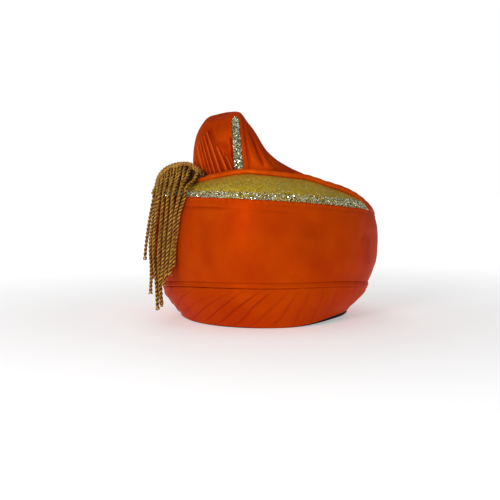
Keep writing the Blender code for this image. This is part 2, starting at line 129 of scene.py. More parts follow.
WRAP_PROFILE = (
    # along, reach share, height share
    (0, 0, 0),
    (0.2, 0.07, 0.13),
    (0.4, 0.33, 0.31),
    (0.6, 0.62, 0.53),
    (0.8, 0.88, 0.76),
    (1, 1, 1),
)

RIM = (
    # angle, top, rise, inset
    (-180, 0.66, 0, 0),
    (-135, 0.73, 0, 0),
    (-105, 0.85, 0.05, 0.02),
    (-80, 0.96, 0.2, 0.17),
    (-60, 1, 0.37, 0.37),
    (-40, 1, 0.55, 0.6),
    (-26, 0.998, 0.76, 0.83),
    (-11, 0.985, 0.98, 0.98),
    (0, 0.97, 0.98, 1),
    (12, 0.948, 0.95, 0.96),
    (22, 0.925, 0.94, 0.84),
    (33, 0.895, 0.77, 0.58),
    (43, 0.87, 0.64, 0.38),
    (55, 0.842, 0.4, 0.2),
    (66, 0.808, 0.15, 0.06),
    (78, 0.76, 0, 0),
    (100, 0.7, 0, 0),
    (135, 0.66, 0, 0),
)

RIDGE = (
    # along, across share, height share, foot share
    (0, -0.93, 0, 0),
    (0.06, -1, 0.27, 0.04),
    (0.14, -0.96, 0.59, 0.11),
    (0.22, -0.87, 0.785, 0.19),
    (0.3, -0.73, 0.91, 0.28),
    (0.38, -0.48, 0.985, 0.37),
    (0.46, -0.24, 0.985, 0.43),
    (0.53, -0.13, 0.86, 0.49),
    (0.61, 0.03, 0.66, 0.56),
    (0.7, 0.22, 0.4, 0.64),
    (0.8, 0.46, 0.23, 0.74),
    (0.9, 0.74, 0.11, 0.87),
    (1, 1.02, 0, 1),
)

HEADING = in_mm(
    (2, 3),
    # along, angle, reach in mm, height in mm
    (0, -34, 13.6, 143),
    (0.15, -41.5, 14.5, 150),
    (0.35, -48.5, 18.5, 151.3),
    (0.55, -55, 23.5, 149.5),
    (0.75, -60.5, 28, 145),
    (0.9, -63.5, 31, 138.5),
    (1, -65.5, 32.5, 130),
)

TAPE_FOOT = (
    # along the heading, angle
    (0, -38.5),
    (0.2, -44),
    (0.35, -49),
    (0.5, -53.5),
    (0.62, -57),
    (0.8, -61.5),
    (0.9, -64),
    (1, -66.5),
)

# Crest lines of the hood's folds, from its left end to the plain panel.
FOLDS = in_mm(
    (4,),
    # along at the foot, along at the top, top, fade at the top, depth in mm
    (0.046, 0.06, 0.74, 0.2, 0.5),
    (0.088, 0.105, 0.74, 0.2, 1),
    (0.13, 0.148, 0.73, 0.2, 1.5),
    (0.166, 0.181, 0.7, 0.18, 2),
    (0.197, 0.203, 0.66, 0.16, 2.1),
    (0.231, 0.228, 0.62, 0.12, 2.2),
    (0.273, 0.258, 0.62, 0.07, 2.4),
    (0.324, 0.296, 0.33, 0.05, 2.7),
    (0.362, 0.336, 0.2, 0.04, 2.4),
    (0.4, 0.376, 0.13, 0.04, 1.2),
)
FOLD_DROP = 0.5  # width of a fold's right side as a share of its left side's
FOLD_ROUND = 0.1  # how much lower a fold's top ends at its sides than at its crest
PANEL_STEP = 2.3 * MM

# Where the plain panel's edge lies over the folds.
PANEL_EDGE = (
    # up, along
    (0, 0.392),
    (0.12, 0.388),
    (0.17, 0.368),
    (0.22, 0.342),
    (0.28, 0.332),
    (0.33, 0.312),
    (0.38, 0.288),
    (0.6, 0.276),
    (0.7, 0.255),
    (0.85, 0.2),
    (1, 0.15),
)

# Pleats of the lower wrap that show in front.
FRONT_PLEATS = in_mm(
    (2,),
    # foot angle, top angle, depth in mm
    (-104, -56, 0.9),
    (-89, -34, 0.9),
    (-73, -16.5, 1),
    (-56, -12.5, 0.5),
    (-40, -8.5, 1.1),
    (-29.5, -1.4, 1),
    (-17.9, 3, 1.1),
    (-9, 11, 0.8),
    (2, 15, 0.5),
    (14.6, 20, 0.6),
    (25, 27, 0.35),
    (36, 35, 0.4),
    (47, 44, 0.35),
    (58, 53, 0.45),
    (69, 63, 0.5),
)
WRAP_THICKNESS = 2.4 * MM
PLEAT_PITCH = 10.5
PLEAT_EDGE = 0.88
PLEAT_DEPTH = 0.9 * MM
PLEAT_SIDES = (0.0, 0.07, 0.15, 0.24, 0.33, 0.42, 0.51, 0.6, 0.69, 0.77, 0.83, 0.88, 0.92, 0.96)

# The tassel's cords: layer 0 lies on the cloth and layer 1 on those.
TASSEL_CORDS = in_mm(
    (2, 3),
    # along the heading, layer, end height in mm, flare in mm, angles from the rim to the end
    (0.03, 0, 55, 0, (-35.2, -38.3, -40, -41.5, -42.5)),
    (0.12, 1, 47, 0, (-37.5, -40, -40.8, -42.3, -43.4)),
    (0.2, 0, 52, 0, (-38.8, -41.2, -42.1, -43.6, -44.9)),
    (0.28, 1, 43, 0, (-41.5, -42.5, -44, -45.6, -47)),
    (0.36, 0, 50, 0, (-43.3, -44.5, -46, -47.3, -48.5)),
    (0.44, 1, 41, 0, (-45.2, -46.4, -48, -49.1, -51)),
    (0.51, 0, 36, 0, (-46.8, -47.4, -49, -50, -51.8)),
    (0.58, 1, 20, 0, (-49.3, -51, -53.2, -53, -51.3)),
    (0.65, 0, 16, 0, (-51.3, -51.9, -54.2, -54.5, -53)),
    (0.71, 1, 12.5, 0, (-53.5, -57.8, -60.3, -57, -55)),
    (0.77, 0, 22, 0, (-55, -58.6, -61.3, -58.7, -57.3)),
    (0.83, 1, 25, 0, (-56.5, -62, -67, -64.5, -66.5)),
    (0.9, 0, 40, 0, (-59, -63.5, -66.5, -67.5, -66)),
    (0.97, 1, 57, 4, (-60.5, -63.3, -66.5, -69.5, -70.5)),
)
CORD_RADIUS = 1.8 * MM
STRAND_RADIUS = 0.9 * MM
STRAND_PITCH = 8.0 * MM
LAYER_RISE = 2.4 * MM
HEADING_RADIUS = 3.0 * MM
TAPE_WALL = 1.2 * MM
# Length of the heading's end under the hood that gets painted shade.
SHADED_END_LENGTH = 8.0 * MM
FRAY_LENGTH = 7.0 * MM
CORD_STEP = 0.8 * MM
HEADING_STRAND = 1.65 * MM
HEADING_PITCH = 11.0 * MM
GLITTER_HEIGHT = 6.5 * MM
GLITTER_LAST = 61.0
FLAKE_WALL = 0.14 * MM


def smooth_step(value, low, high):
    """0 below low, 1 above high, and a smooth rise between them."""
    share = min(max((value - low) / (high - low), 0.0), 1.0)
    return share * share * (3 - 2 * share)


def hump(value, start, full, fade, end):
    """A smooth rise from start to full, 1 up to fade, and a smooth fall to end."""
    return smooth_step(value, start, full) * (1 - smooth_step(value, fade, end))


def bell(offset, width):
    return math.exp(-((offset / width) ** 2))


def hermite(t, width, start, end, slopes):
    """A smooth curve between two values with the given slopes, at a share t of its width."""
    level = (2 * t**3 - 3 * t**2 + 1) * start + (3 * t**2 - 2 * t**3) * end
    return level + width * ((t**3 - 2 * t**2 + t) * slopes[0] + (t**3 - t**2) * slopes[1])


@functools.lru_cache(maxsize=None)
def along_table(table, column, at, period=0.0):
    """Smooth curve through one column of a table, whose first column rises."""
    rows = [(row[0], row[column]) for row in table]
    if period:
        at = (at - rows[0][0]) % period + rows[0][0]
        before = [(rows[-1][0] - period, rows[-1][1])]
        rows = before + rows + [(x + period, y) for x, y in rows[:2]]
    else:
        at = min(max(at, rows[0][0]), rows[-1][0])
    last = len(rows) - 1

    def slope(k):
        low, high = max(0, k - 1), min(last, k + 1)
        return (rows[high][1] - rows[low][1]) / (rows[high][0] - rows[low][0])

    i = next(k for k in range(last) if at <= rows[k + 1][0])
    (x0, y0), (x1, y1) = rows[i], rows[i + 1]
    width = x1 - x0
    return hermite((at - x0) / width, width, y0, y1, (slope(i), slope(i + 1)))


def plan_radius(angle, reach):
    """Distance from the middle of the head opening to the oval that lies reach outside it."""
    turn = math.radians(angle)
    across = math.sin(turn) / (HEAD_HALF_WIDTH + reach)
    along = math.cos(turn) / (HEAD_HALF_LENGTH + reach)
    return 1 / math.hypot(across, along)


def polar(angle, radius, height):
    turn = math.radians(angle)
    return Vector((radius * math.sin(turn), -radius * math.cos(turn), height))


def placed(angle, reach, height):
    return polar(angle, plan_radius(angle, reach), height)


# The forms that several pieces share


def seam_height(angle):
    return SEAM_HEIGHT - SEAM_DIP * math.sin(math.radians(angle)) ** 4


def rim_height(angle):
    return SEAM_HEIGHT + BAND_HEIGHT * along_table(RIM, 1, angle, 360.0)


def band_reach(share):
    bulge = along_table(BAND_PROFILE, 1, share)
    return WRAP_REACH + GAP + (BAND_REACH - WRAP_REACH - GAP) * bulge


def piping_centre(angle):
    """(radius, height) of the piping's centreline."""
    rise = PIPING_LIFT + SHOULDER_RISE * along_table(RIM, 2, angle, 360.0)
    edge = BAND_WALL + GAP + PIPING_RADIUS
    inset = edge + SHOULDER_INSET * max(0.0, along_table(RIM, 3, angle, 360.0))
    return plan_radius(angle, band_reach(1.0)) - inset, rim_height(angle) + rise


def crown_height(x, y):
    """Height of the crown's top at a place in plan: a tilted dome inside the piping."""
    angle = math.degrees(math.atan2(x, -y))
    radius, height = piping_centre(angle)
    edge = radius - PIPING_RADIUS - GAP
    share = min(1.0, math.hypot(x, y) / edge) ** 2
    return height * share + CROWN_HEIGHT * (1 - share)


def edge_lift(angle):
    """Share of the lift of the lower edge on the right of the front."""
    return 1 - smooth_step(abs(angle - LIFT_CENTRE), 0.2 * LIFT_SPAN, LIFT_SPAN)


def clear_radius(angle, height):
    """Radius of the side band, shoulder or piping at a height, for what hangs in front of them."""
    radius, centre = piping_centre(angle)
    rim = rim_height(angle)
    if height > centre:
        return radius + PIPING_RADIUS
    if height > rim:
        start = plan_radius(angle, band_reach(1.0))
        share = (height - rim) / (centre - rim)
        return start - (start - radius - PIPING_RADIUS) * (1 - math.sqrt(1 - share**2))
    low = seam_height(angle)
    share = max(BAND_WIDEST, (height - low) / (rim - low))
    return plan_radius(angle, band_reach(share))


# Meshes


def waver(point, size, seed=0.0):
    """Smooth noise from -1 to 1 at a point, with bumps of about that size."""
    return noise.noise(Vector(point) / size + Vector((seed, 1.7 * seed, 0.3 * seed)))


def ring_angles(count):
    return [360.0 * i / count - 180.0 for i in range(count)]


def spread(start, end, count):
    return [start + (end - start) * i / (count - 1) for i in range(count)]


def grid(firsts, seconds, place):
    """A column of points for each of the firsts, with a row for each of the seconds."""
    return [[place(first, second) for second in seconds] for first in firsts]


def lengths_along(points, closed=False):
    """Distance from the first point to each, and round to the first again if the line is closed."""
    points = np.asarray(points)
    if closed:
        points = np.vstack([points, points[:1]])
    steps = np.linalg.norm(np.diff(points, axis=0), axis=1)
    return np.concatenate([[0.0], np.cumsum(steps)])


def linked(name, data, material):
    """A new object of a mesh."""
    data.materials.append(material)
    made = bpy.data.objects.new(name, data)
    bpy.context.scene.collection.objects.link(made)
    return made


def as_object(name, points, faces, corners, material, painted_shadings=None):
    """A smooth-shaded object; corners holds each face corner's place on the cloth, in metres.

    The last argument gives one number for each point: above 0 how deep it lies in a fold, for
    painted shade, and below 0 how far it stands on a crest, for a painted highlight.
    """
    data = bpy.data.meshes.new(name)
    data.from_pydata([tuple(p) for p in points], [], faces)
    layer = data.uv_layers.new(name="cloth")
    layer.data.foreach_set("uv", np.asarray(corners, dtype=np.float32).ravel())
    if painted_shadings is not None:
        tone = data.attributes.new("painted_shading", "FLOAT", "POINT")
        tone.data.foreach_set("value", np.asarray(painted_shadings, dtype=np.float32))
    mesh = bmesh.new()
    mesh.from_mesh(data)
    bmesh.ops.recalc_face_normals(mesh, faces=mesh.faces)
    mesh.to_mesh(data)
    mesh.free()
    data.shade_smooth()
    return linked(name, data, material)


def looped(loops, u, v, around, start=0):
    """Points, faces and cloth places of a body through closed loops, capped unless around."""
    loops = np.asarray(loops)
    count, size = loops.shape[:2]
    faces, corners = [], []
    for i in range(count if around else count - 1):
        j = (i + 1) % count
        for k in range(size):
            m = (k + 1) % size
            faces.append((i * size + k, j * size + k, j * size + m, i * size + m))
            corners += [(u[i], v[k]), (u[i + 1], v[k]), (u[i + 1], v[k + 1]), (u[i], v[k + 1])]
    for i in () if around else (0, count - 1):
        for k in range(size // 2):
            ring = [k, k + 1, size - k - 1, (size - k) % size]
            if k == 0:
                ring = [0, 1, size - 1]
            if k == size // 2 - 1:
                ring = ring[:2] + ring[3:]
            faces.append(tuple(i * size + r for r in ring))
            corners += [(u[i], v[r]) for r in ring]
    faces = [tuple(start + index for index in face) for face in faces]
    return loops.reshape(-1, 3), faces, corners


def grid_normals(face, around):
    if around:
        across = np.roll(face, -1, axis=0) - np.roll(face, 1, axis=0)
    else:
        across = np.gradient(face, axis=0)
    normal = np.cross(across, np.gradient(face, axis=1))
    return normal / np.maximum(np.linalg.norm(normal, axis=2, keepdims=True), 1e-9)


HEM_TURNS = (math.pi / 5, math.pi / 2, 4 * math.pi / 5)


def cloth(name, face, wall, material, around=True, painted_shadings=None):
    """A cloth wall behind a grid of columns of points, with rounded hems along both edges."""
    face = np.asarray([[tuple(p) for p in column] for column in face])
    normal = grid_normals(face, around)
    back = face - normal * wall

    def hem(row, step):
        middle = (face[:, row] + back[:, row]) / 2
        out = face[:, row] - middle
        along = face[:, row] - face[:, step]
        along /= np.linalg.norm(along, axis=1, keepdims=True)
        return [middle + out * math.cos(t) + along * (wall / 2 * math.sin(t)) for t in HEM_TURNS]

    low, high = hem(0, 1), hem(-1, -2)
    rows = [low[1], low[0], *np.moveaxis(face, 1, 0), *high, *np.moveaxis(back, 1, 0)[::-1], low[2]]
    loops = np.stack(rows, axis=1)
    middle_row = face.shape[1] // 2
    u = lengths_along(face[:, middle_row], around)
    if not around:
        u = np.append(u, u[-1])
    rise = lengths_along(face[face.shape[0] // 2])
    lip = wall / 2
    v = [-lip, -lip / 2, *rise, rise[-1] + lip / 2, rise[-1] + lip, rise[-1] + lip / 2]
    v += [*rise[::-1], -lip / 2, -lip]
    if painted_shadings is not None:
        painted_shadings = np.asarray(painted_shadings)
        low, high = painted_shadings[:, :1], painted_shadings[:, -1:]
        painted_shadings = np.hstack([low, low, painted_shadings, high, high, high, painted_shadings[:, ::-1], low]).ravel()
    return as_object(name, *looped(loops, u, v, around), material, painted_shadings)


def frames_along(points):
    """Two steady side directions at each point of a line."""
    tangent = np.gradient(np.asarray(points), axis=0)
    tangent /= np.linalg.norm(tangent, axis=1, keepdims=True)
    side = np.cross(tangent[0], (0.0, 0.0, 1.0))
    if np.linalg.norm(side) < 0.1:
        side = np.cross(tangent[0], (1.0, 0.0, 0.0))
    sides = []
    for t in tangent:
        side = side - t * np.dot(side, t)
        side /= np.linalg.norm(side)
        sides.append(side)
    return np.array(sides), np.cross(tangent, sides)


def tube_loops(points, radii, sides, around=False):
    """Rings of points about a line; radii are one for each point, or one for all."""
    points = np.asarray(points)
    if around:
        tangent = np.roll(points, -1, axis=0) - np.roll(points, 1, axis=0)
        tangent /= np.linalg.norm(tangent, axis=1, keepdims=True)
        side = np.cross(tangent, (0.0, 0.0, 1.0))
        side /= np.linalg.norm(side, axis=1, keepdims=True)
        up = np.cross(side, tangent)
    else:
        side, up = frames_along(points)
    turns = (2 * np.pi * np.arange(sides) / sides)[None, :, None]
    rings = side[:, None] * np.cos(turns) + up[:, None] * np.sin(turns)
    return points[:, None] + rings * np.reshape(radii, (-1, 1, 1))


def resampled(points, step):
    """A smooth line through points, with new points about a step apart."""
    points = np.asarray([tuple(p) for p in points])
    chord = lengths_along(points)
    slopes = np.gradient(points, chord, axis=0)
    line = []
    for at in np.linspace(0, chord[-1], max(4, int(chord[-1] / step)) + 1):
        i = min(np.searchsorted(chord, at, side="right") - 1, len(chord) - 2)
        width = chord[i + 1] - chord[i]
        share = (at - chord[i]) / width
        line.append(hermite(share, width, points[i], points[i + 1], slopes[i : i + 2]))
    return np.array(line)


def joined(parts):
    """Points, faces and cloth places of several bodies as one set."""
    points, faces, corners = [], [], []
    for loops, u, v in parts:
        more = looped(loops, u, v, False, sum(len(p) for p in points))
        points.append(more[0])
        faces += more[1]
        corners += more[2]
    return np.vstack(points), faces, corners


def crease_relief(x, y, creases):
    """Height of soft ridges and valleys at a place on the cloth."""
    height = 0.0
    for x0, y0, x1, y1, width, rise in creases:
        length = math.hypot(x1 - x0, y1 - y0)
        run = ((x - x0) * (x1 - x0) + (y - y0) * (y1 - y0)) / length
        off = ((x - x0) * (y1 - y0) - (y - y0) * (x1 - x0)) / length
        ends = hump(run, -0.1 * length, 0.2 * length, 0.8 * length, 1.1 * length)
        height += rise * bell(off, width) * ends
    return height


# Materials


class Nodes:
    """A short way to add nodes and link them."""

    def __init__(self, name):
        self.material = bpy.data.materials.new(name)
        self.material.use_nodes = True
        self.tree = self.material.node_tree
        self.shader = self.tree.nodes["Principled BSDF"]

    def add(self, kind, settings=(), **inputs):
        node = self.tree.nodes.new(kind)
        for key, value in dict(settings).items():
            setattr(node, key, value)
        for key, value in inputs.items():
            self.put(node, key.replace("_", " "), value)
        return node

    def put(self, node, key, value):
        socket = node.inputs[int(key) if key.isdigit() else key]
        if isinstance(value, bpy.types.NodeSocket):
            self.tree.links.new(value, socket)
        else:
            socket.default_value = value

    def math(self, operation, first, second=0.0, clamp=False):
        settings = {"operation": operation, "use_clamp": clamp}
        return self.add("ShaderNodeMath", settings, **{"0": first, "1": second}).outputs[0]

    def mix(self, share, first, second):
        inputs = {"0": share, "6": first, "7": second}
        return self.add("ShaderNodeMix", {"data_type": "RGBA"}, **inputs).outputs[2]

    def ramp(self, value, low, high, first=0.0, last=1.0):
        limits = {"From_Min": low, "From_Max": high, "To_Min": first, "To_Max": last}
        return self.add("ShaderNodeMapRange", Value=value, **limits).outputs[0]

    def noise(self, place, size, detail=2.0, roughness=0.5):
        settings = {"Vector": place, "Scale": 1 / size, "Detail": detail, "Roughness": roughness}
        return self.add("ShaderNodeTexNoise", **settings).outputs[0]

    def parts(self, place):
        return self.add("ShaderNodeSeparateXYZ", Vector=place).outputs

    def point_value(self, name, output="Fac"):
        return self.add("ShaderNodeAttribute", {"attribute_name": name}).outputs[output]

    def cloth_place(self, stretch=1.0):
        place = self.add("ShaderNodeUVMap", {"uv_map": "cloth"}).outputs[0]
        return self.add("ShaderNodeMapping", Vector=place, Scale=(stretch, 1.0, 1.0)).outputs[0]

    def body_place(self):
        return self.add("ShaderNodeTexCoord").outputs["Object"]

    def bump(self, height, strength, distance, **normal):
        inputs = {"Height": height, "Strength": strength, "Distance": distance, **normal}
        return self.add("ShaderNodeBump", **inputs).outputs[0]

    def finish(self, **values):
        for key, value in values.items():
            self.put(self.shader, key.replace("_", " "), value)
        return self.material


def weave_height(nodes, thread):
    """Plain weave of crossing threads, as a height from 0 to 1."""
    waves = [
        nodes.math("SINE", nodes.math("MULTIPLY", along, math.pi / thread))
        for along in nodes.parts(nodes.cloth_place())[:2]
    ]
    return nodes.ramp(nodes.math("MULTIPLY", *waves), -1.0, 1.0)


def satin(name, light, dark, fold_shade, thread=0.35 * MM):
    """Satin: smooth sheen, fine floats, faint slubs, painted shade in folds and painted highlights
    on crests.
    """
    nodes = Nodes(name)
    body = nodes.body_place()
    patches = nodes.noise(body, 9 * MM, 4.0, 0.6)
    floats = nodes.noise(nodes.cloth_place(0.12), 0.5 * MM, 3.0, 0.6)
    painted_shading = nodes.point_value("painted_shading")
    tone = nodes.mix(nodes.ramp(nodes.noise(body, 45 * MM), 0.35, 0.65), dark, light)
    tone = nodes.mix(nodes.ramp(patches, 0.4, 0.75, 0.0, 0.3), tone, dark)
    tone = nodes.mix(nodes.ramp(floats, 0.35, 0.7, 0.0, 0.25), tone, light)
    # Painted shade in folds and creases, and a painted highlight on crests, from each point's
    # painted shading.
    tone = nodes.mix(nodes.math("MULTIPLY", painted_shading, 0.85, True), tone, fold_shade)
    tone = nodes.mix(nodes.math("MULTIPLY", painted_shading, -1.0, True), tone, CREST_HIGHLIGHT)
    ripple = nodes.bump(nodes.noise(body, 5 * MM, 3.0), 0.3, 0.5 * MM)
    slub = nodes.bump(floats, 0.35, 0.12 * MM, Normal=ripple)
    return nodes.finish(
        Base_Color=tone,
        Roughness=nodes.ramp(patches, 0.3, 0.7, 0.43, 0.55),
        Normal=nodes.bump(weave_height(nodes, thread), 0.3, 0.08 * MM, Normal=slub),
        Metallic=0.32,
        Anisotropic=0.45,
        Anisotropic_Rotation=0.25,
        Sheen_Weight=0.02,
        Sheen_Roughness=0.35,
        Sheen_Tint=(1.0, 0.2, 0.02, 1.0),
        Specular_IOR_Level=0.03,
        Specular_Tint=(1.0, 0.14, 0.01, 1.0),
    )


def lame(name, gold, dark, glint, cell, glint_share, metallic=0.75):
    """Metallic weave: small facets that each catch the light their own way, and a few painted
    glints.
    """
    nodes = Nodes(name)
    body, place = nodes.body_place(), nodes.cloth_place()
    facets = nodes.add("ShaderNodeTexVoronoi", Vector=place, Scale=1 / cell).outputs["Color"]
    chances = nodes.add("ShaderNodeSeparateColor", Color=facets).outputs
    tone = nodes.mix(nodes.ramp(chances[0], 0.0, 1.0), dark, gold)
    tone = nodes.mix(nodes.ramp(nodes.noise(body, 14 * MM, 3.0), 0.35, 0.7, 0.0, 0.45), tone, dark)
    mottled = nodes.noise(place, 1.7 * MM, 3.0, 0.75)
    tone = nodes.mix(nodes.ramp(mottled, 0.42, 0.66, 0.0, 0.6), tone, dark)
    # Painted glints: a share of the facets take the near-white glint colour, bright under any
    # light.
    tone = nodes.mix(nodes.ramp(chances[1], 1 - glint_share, 1 - glint_share + 0.02), tone, glint)
    tilt = nodes.add("ShaderNodeNormalMap", {"uv_map": "cloth"}, Color=facets, Strength=0.35)
    creased = nodes.bump(nodes.noise(body, 3 * MM, 4.0), 0.4, 0.5 * MM, Normal=tilt.outputs[0])
    woven = nodes.bump(weave_height(nodes, 0.45 * MM), 0.5, 0.12 * MM, Normal=creased)
    return nodes.finish(Base_Color=tone, Metallic=metallic, Roughness=0.38, Normal=woven)


def cord_gold(name, light, dark):
    """Metal-wrapped thread: fine turns round each strand, with painted shade in the grooves between
    the turns.
    """
    nodes = Nodes(name)
    along, around = nodes.parts(nodes.cloth_place())[:2]
    slant = nodes.math("ADD", along, nodes.math("MULTIPLY", around, 0.8))
    turns = nodes.math("SINE", nodes.math("MULTIPLY", slant, 2 * math.pi / (0.55 * MM)))
    wrap = nodes.ramp(turns, -1.0, 1.0)
    worn = nodes.noise(nodes.body_place(), 4 * MM, 4.0, 0.65)
    tone = nodes.mix(nodes.ramp(worn, 0.35, 0.65), dark, light)
    # Painted shade in the grooves between the turns.
    tone = nodes.mix(nodes.ramp(wrap, 0.0, 0.6, 0.45, 0.0), tone, dark)
    return nodes.finish(
        # Painted shade between the strands, from each point's painted shading.
        Base_Color=nodes.mix(nodes.point_value("painted_shading"), tone, CORD_SHADE),
        Metallic=0.7,
        Roughness=nodes.ramp(worn, 0.3, 0.7, 0.32, 0.5),
        Normal=nodes.bump(wrap, 0.5, 0.12 * MM),
    )


def cotton(name, light, dark):
    nodes = Nodes(name)
    body = nodes.body_place()
    tone = nodes.mix(nodes.ramp(nodes.noise(body, 12 * MM, 4.0, 0.6), 0.35, 0.7), dark, light)
    fluff = nodes.bump(nodes.noise(body, 0.8 * MM, 3.0), 0.4, 0.2 * MM)
    woven = nodes.bump(weave_height(nodes, 0.5 * MM), 0.6, 0.15 * MM, Normal=fluff)
    return nodes.finish(Base_Color=tone, Roughness=0.92, Normal=woven, Specular_IOR_Level=0.2)


def flake_metal(name):
    """Tinsel flakes, each with its own tone from the mesh, partly painted glint and painted shade.
    """
    nodes = Nodes(name)
    tone = nodes.point_value("flake", "Color")
    return nodes.finish(Base_Color=tone, Metallic=0.75, Roughness=0.24)


def floor_painted_glow():
    """A pale floor with a painted glow: it gives off light, more the further it lies from the
    object, so it grows lighter away from it.
    """
    nodes = Nodes("floor_painted_glow")
    place = nodes.add("ShaderNodeNewGeometry").outputs["Position"]
    away = nodes.add("ShaderNodeVectorMath", {"operation": "LENGTH"}, **{"0": place})
    return nodes.finish(
        Base_Color=(0.88, 0.88, 0.88, 1.0),
        Roughness=0.7,
        Emission_Color=(1.0, 1.0, 1.0, 1.0),
        Emission_Strength=nodes.ramp(away.outputs["Value"], 0.2, 1.0, 0.4, 0.85),
    )


# Painted highlight for the crests of folds.
CREST_HIGHLIGHT = (0.86, 0.16, 0.02, 1.0)
ORANGE = (0.57, 0.061, 0.001, 1.0)
ORANGE_DARK = (0.48, 0.038, 0.001, 1.0)
# Painted shade for folds, creases and pleats.
ORANGE_FOLD_SHADE = (0.25, 0.008, 0.001, 1.0)
# A lighter orange for the piping: a painted highlight.
ORANGE_PAINTED_HIGHLIGHT = (0.75, 0.095, 0.004, 1.0)
GOLD = (0.86, 0.63, 0.03, 1.0)
GOLD_DARK = (0.4, 0.25, 0.006, 1.0)
# Near-white for painted glints on the gold and the stripe.
SILVER_GLINT = (0.8, 0.86, 0.62, 1.0)
GREEN_GOLD = (0.42, 0.4, 0.17, 1.0)
GREEN_DARK = (0.13, 0.14, 0.04, 1.0)
CORD = (0.86, 0.47, 0.068, 1.0)
CORD_DARK = (0.33, 0.12, 0.008, 1.0)
# Painted shade between the strands of a cord.
CORD_SHADE = (0.035, 0.014, 0.003, 1.0)
# Dark brown of the tape: partly its own colour, partly painted shade under the heading.
TAPE_SHADED = (0.12, 0.055, 0.01, 1.0)
TAPE_SHADED_DARK = (0.05, 0.02, 0.004, 1.0)
LINING = (0.03, 0.022, 0.018, 1.0)
LINING_DARK = (0.012, 0.009, 0.008, 1.0)

satin_cloth = satin("satin_orange", ORANGE, ORANGE_DARK, ORANGE_FOLD_SHADE)
# Lighter copy of the orange satin for the piping, as a painted highlight.
satin_painted_highlight = satin("satin_orange_painted_highlight", ORANGE_PAINTED_HIGHLIGHT, ORANGE, ORANGE_FOLD_SHADE)
lame_cloth = lame("lame_gold", GOLD, GOLD_DARK, SILVER_GLINT, 0.6 * MM, 0.05, 0.6)
lame_stripe = lame("lame_silver", GREEN_GOLD, GREEN_DARK, SILVER_GLINT, 0.8 * MM, 0.1)
gold_thread = cord_gold("cord_gold", CORD, CORD_DARK)
# The tape's dark brown is partly painted shade under the heading.
gold_tape_shaded = cotton("tape_gold_shaded", TAPE_SHADED, TAPE_SHADED_DARK)
glitter = flake_metal("glitter")
dark_cotton = cotton("cotton_dark", LINING, LINING_DARK)


# Lining and lower wrap


def lining_point(angle, row):
    """The lining's outside: a wall that leans out at its foot, and a full dome above it."""
    if row <= LINING_BEND:
        low = LINING_LIFT * edge_lift(angle) + LINING_WALL / 2
        flare = LINING_FLARE * (1 - smooth_step(row, 0.0, 0.07))
        return placed(angle, LINING_WALL + flare, low + (LINING_SIDE - low) * row / LINING_BEND)
    turn = math.pi / 2 * (row - LINING_BEND) / (1 - LINING_BEND)
    share = math.cos(turn) ** (2 / LINING_FULLNESS)
    top = LINING_HEIGHT + LINING_WALL - LINING_SIDE
    height = top * math.sin(turn) ** (2 / LINING_FULLNESS)
    return polar(angle, plan_radius(angle, LINING_WALL) * share, LINING_SIDE + height)


def pleat_edges():
    """Foot angle, top angle and depth of every pleat of the lower wrap, in order round the ring."""
    edges = list(FRONT_PLEATS)
    (first_foot, first_top, _), (last_foot, last_top, _) = edges[0], edges[-1]
    count = round((first_foot + 360.0 - last_foot) / PLEAT_PITCH)
    chance = random.Random(4)
    for k in range(1, count):
        share = k / count
        foot = last_foot + (first_foot + 360.0 - last_foot) * share + chance.uniform(-1.2, 1.2)
        top = last_top + (first_top + 360.0 - last_top) * share
        edges.append((foot, top, PLEAT_DEPTH * chance.uniform(0.6, 1.2)))
    return edges


def wrap_line(angle, share):
    """(reach, height) of the lower wrap's outside at a share of the way from heel to seam."""
    lift = FRONT_LIFT * edge_lift((angle + 180.0) % 360.0 - 180.0)
    top = seam_height(angle) - WELT_HEIGHT - 2 * GAP
    start = LINING_WALL + GAP + HEEL_WIDTH
    reach = start + (WRAP_REACH - start) * along_table(WRAP_PROFILE, 1, share)
    height = top * along_table(WRAP_PROFILE, 2, share)
    return reach, height + lift * (1 - height / top)


def make_wrap():
    """Columns of points that follow the pleats, and the painted shade of each, from how deep it
    lies in a fold.
    """
    edges = pleat_edges()
    columns, painted_shadings = [], []
    for k, (foot, top, _) in enumerate(edges):
        next_foot, next_top, depth = edges[(k + 1) % len(edges)]
        turn = 360.0 if k == len(edges) - 1 else 0.0
        for side in PLEAT_SIDES:
            low = foot + (next_foot + turn - foot) * side
            high = top + (next_top + turn - top) * side
            if side <= PLEAT_EDGE:
                rise = (side / PLEAT_EDGE) ** 1.6
            else:
                over = (side - PLEAT_EDGE) / (1 - PLEAT_EDGE)
                rise = 1 - math.sin(math.pi / 2 * over) ** 0.7
            near = min(side / 0.1, 1.0) if side < 0.5 else min((1 - side) / 0.06, 1.0)
            column, painted_shades = [], []
            for share in spread(0.0, 1.0, 34):
                angle = low + (high - low) * share
                bend = 1.3 * waver(placed(low, 0.0, 30 * MM * share), 16 * MM, 3.0)
                angle += bend * math.sin(math.pi * share)
                reach, height = wrap_line(angle, share * 0.97)
                mine = depth * (0.75 + 0.45 * waver((k * 1.3, share * 2.0, 5.0), 1.0))
                ends = smooth_step(share, -0.02, 0.12) * (1 - 0.8 * smooth_step(share, 0.8, 1.0))
                height += WRAP_THICKNESS / 2 * (1 - smooth_step(share, 0.0, 0.25))
                here = placed(angle, reach, height)
                swell = mine * rise * ends
                swell += 0.5 * MM * smooth_step(share, 0.9, 1.0)
                swell += 0.6 * MM * waver(here, 18 * MM, 2.0) + 0.22 * MM * waver(here, 6 * MM, 7.0)
                column.append(placed(angle, reach + swell - 0.4 * MM, height))
                # Painted shade along each pleat's fold, as deep as the pleat.
                painted_shades.append((1 - near) * ends * min(1.0, mine / (1.1 * MM)))
            columns.append(column)
            painted_shadings.append(painted_shades)
    return columns, painted_shadings


# Welt, side band, shoulder, piping and crown


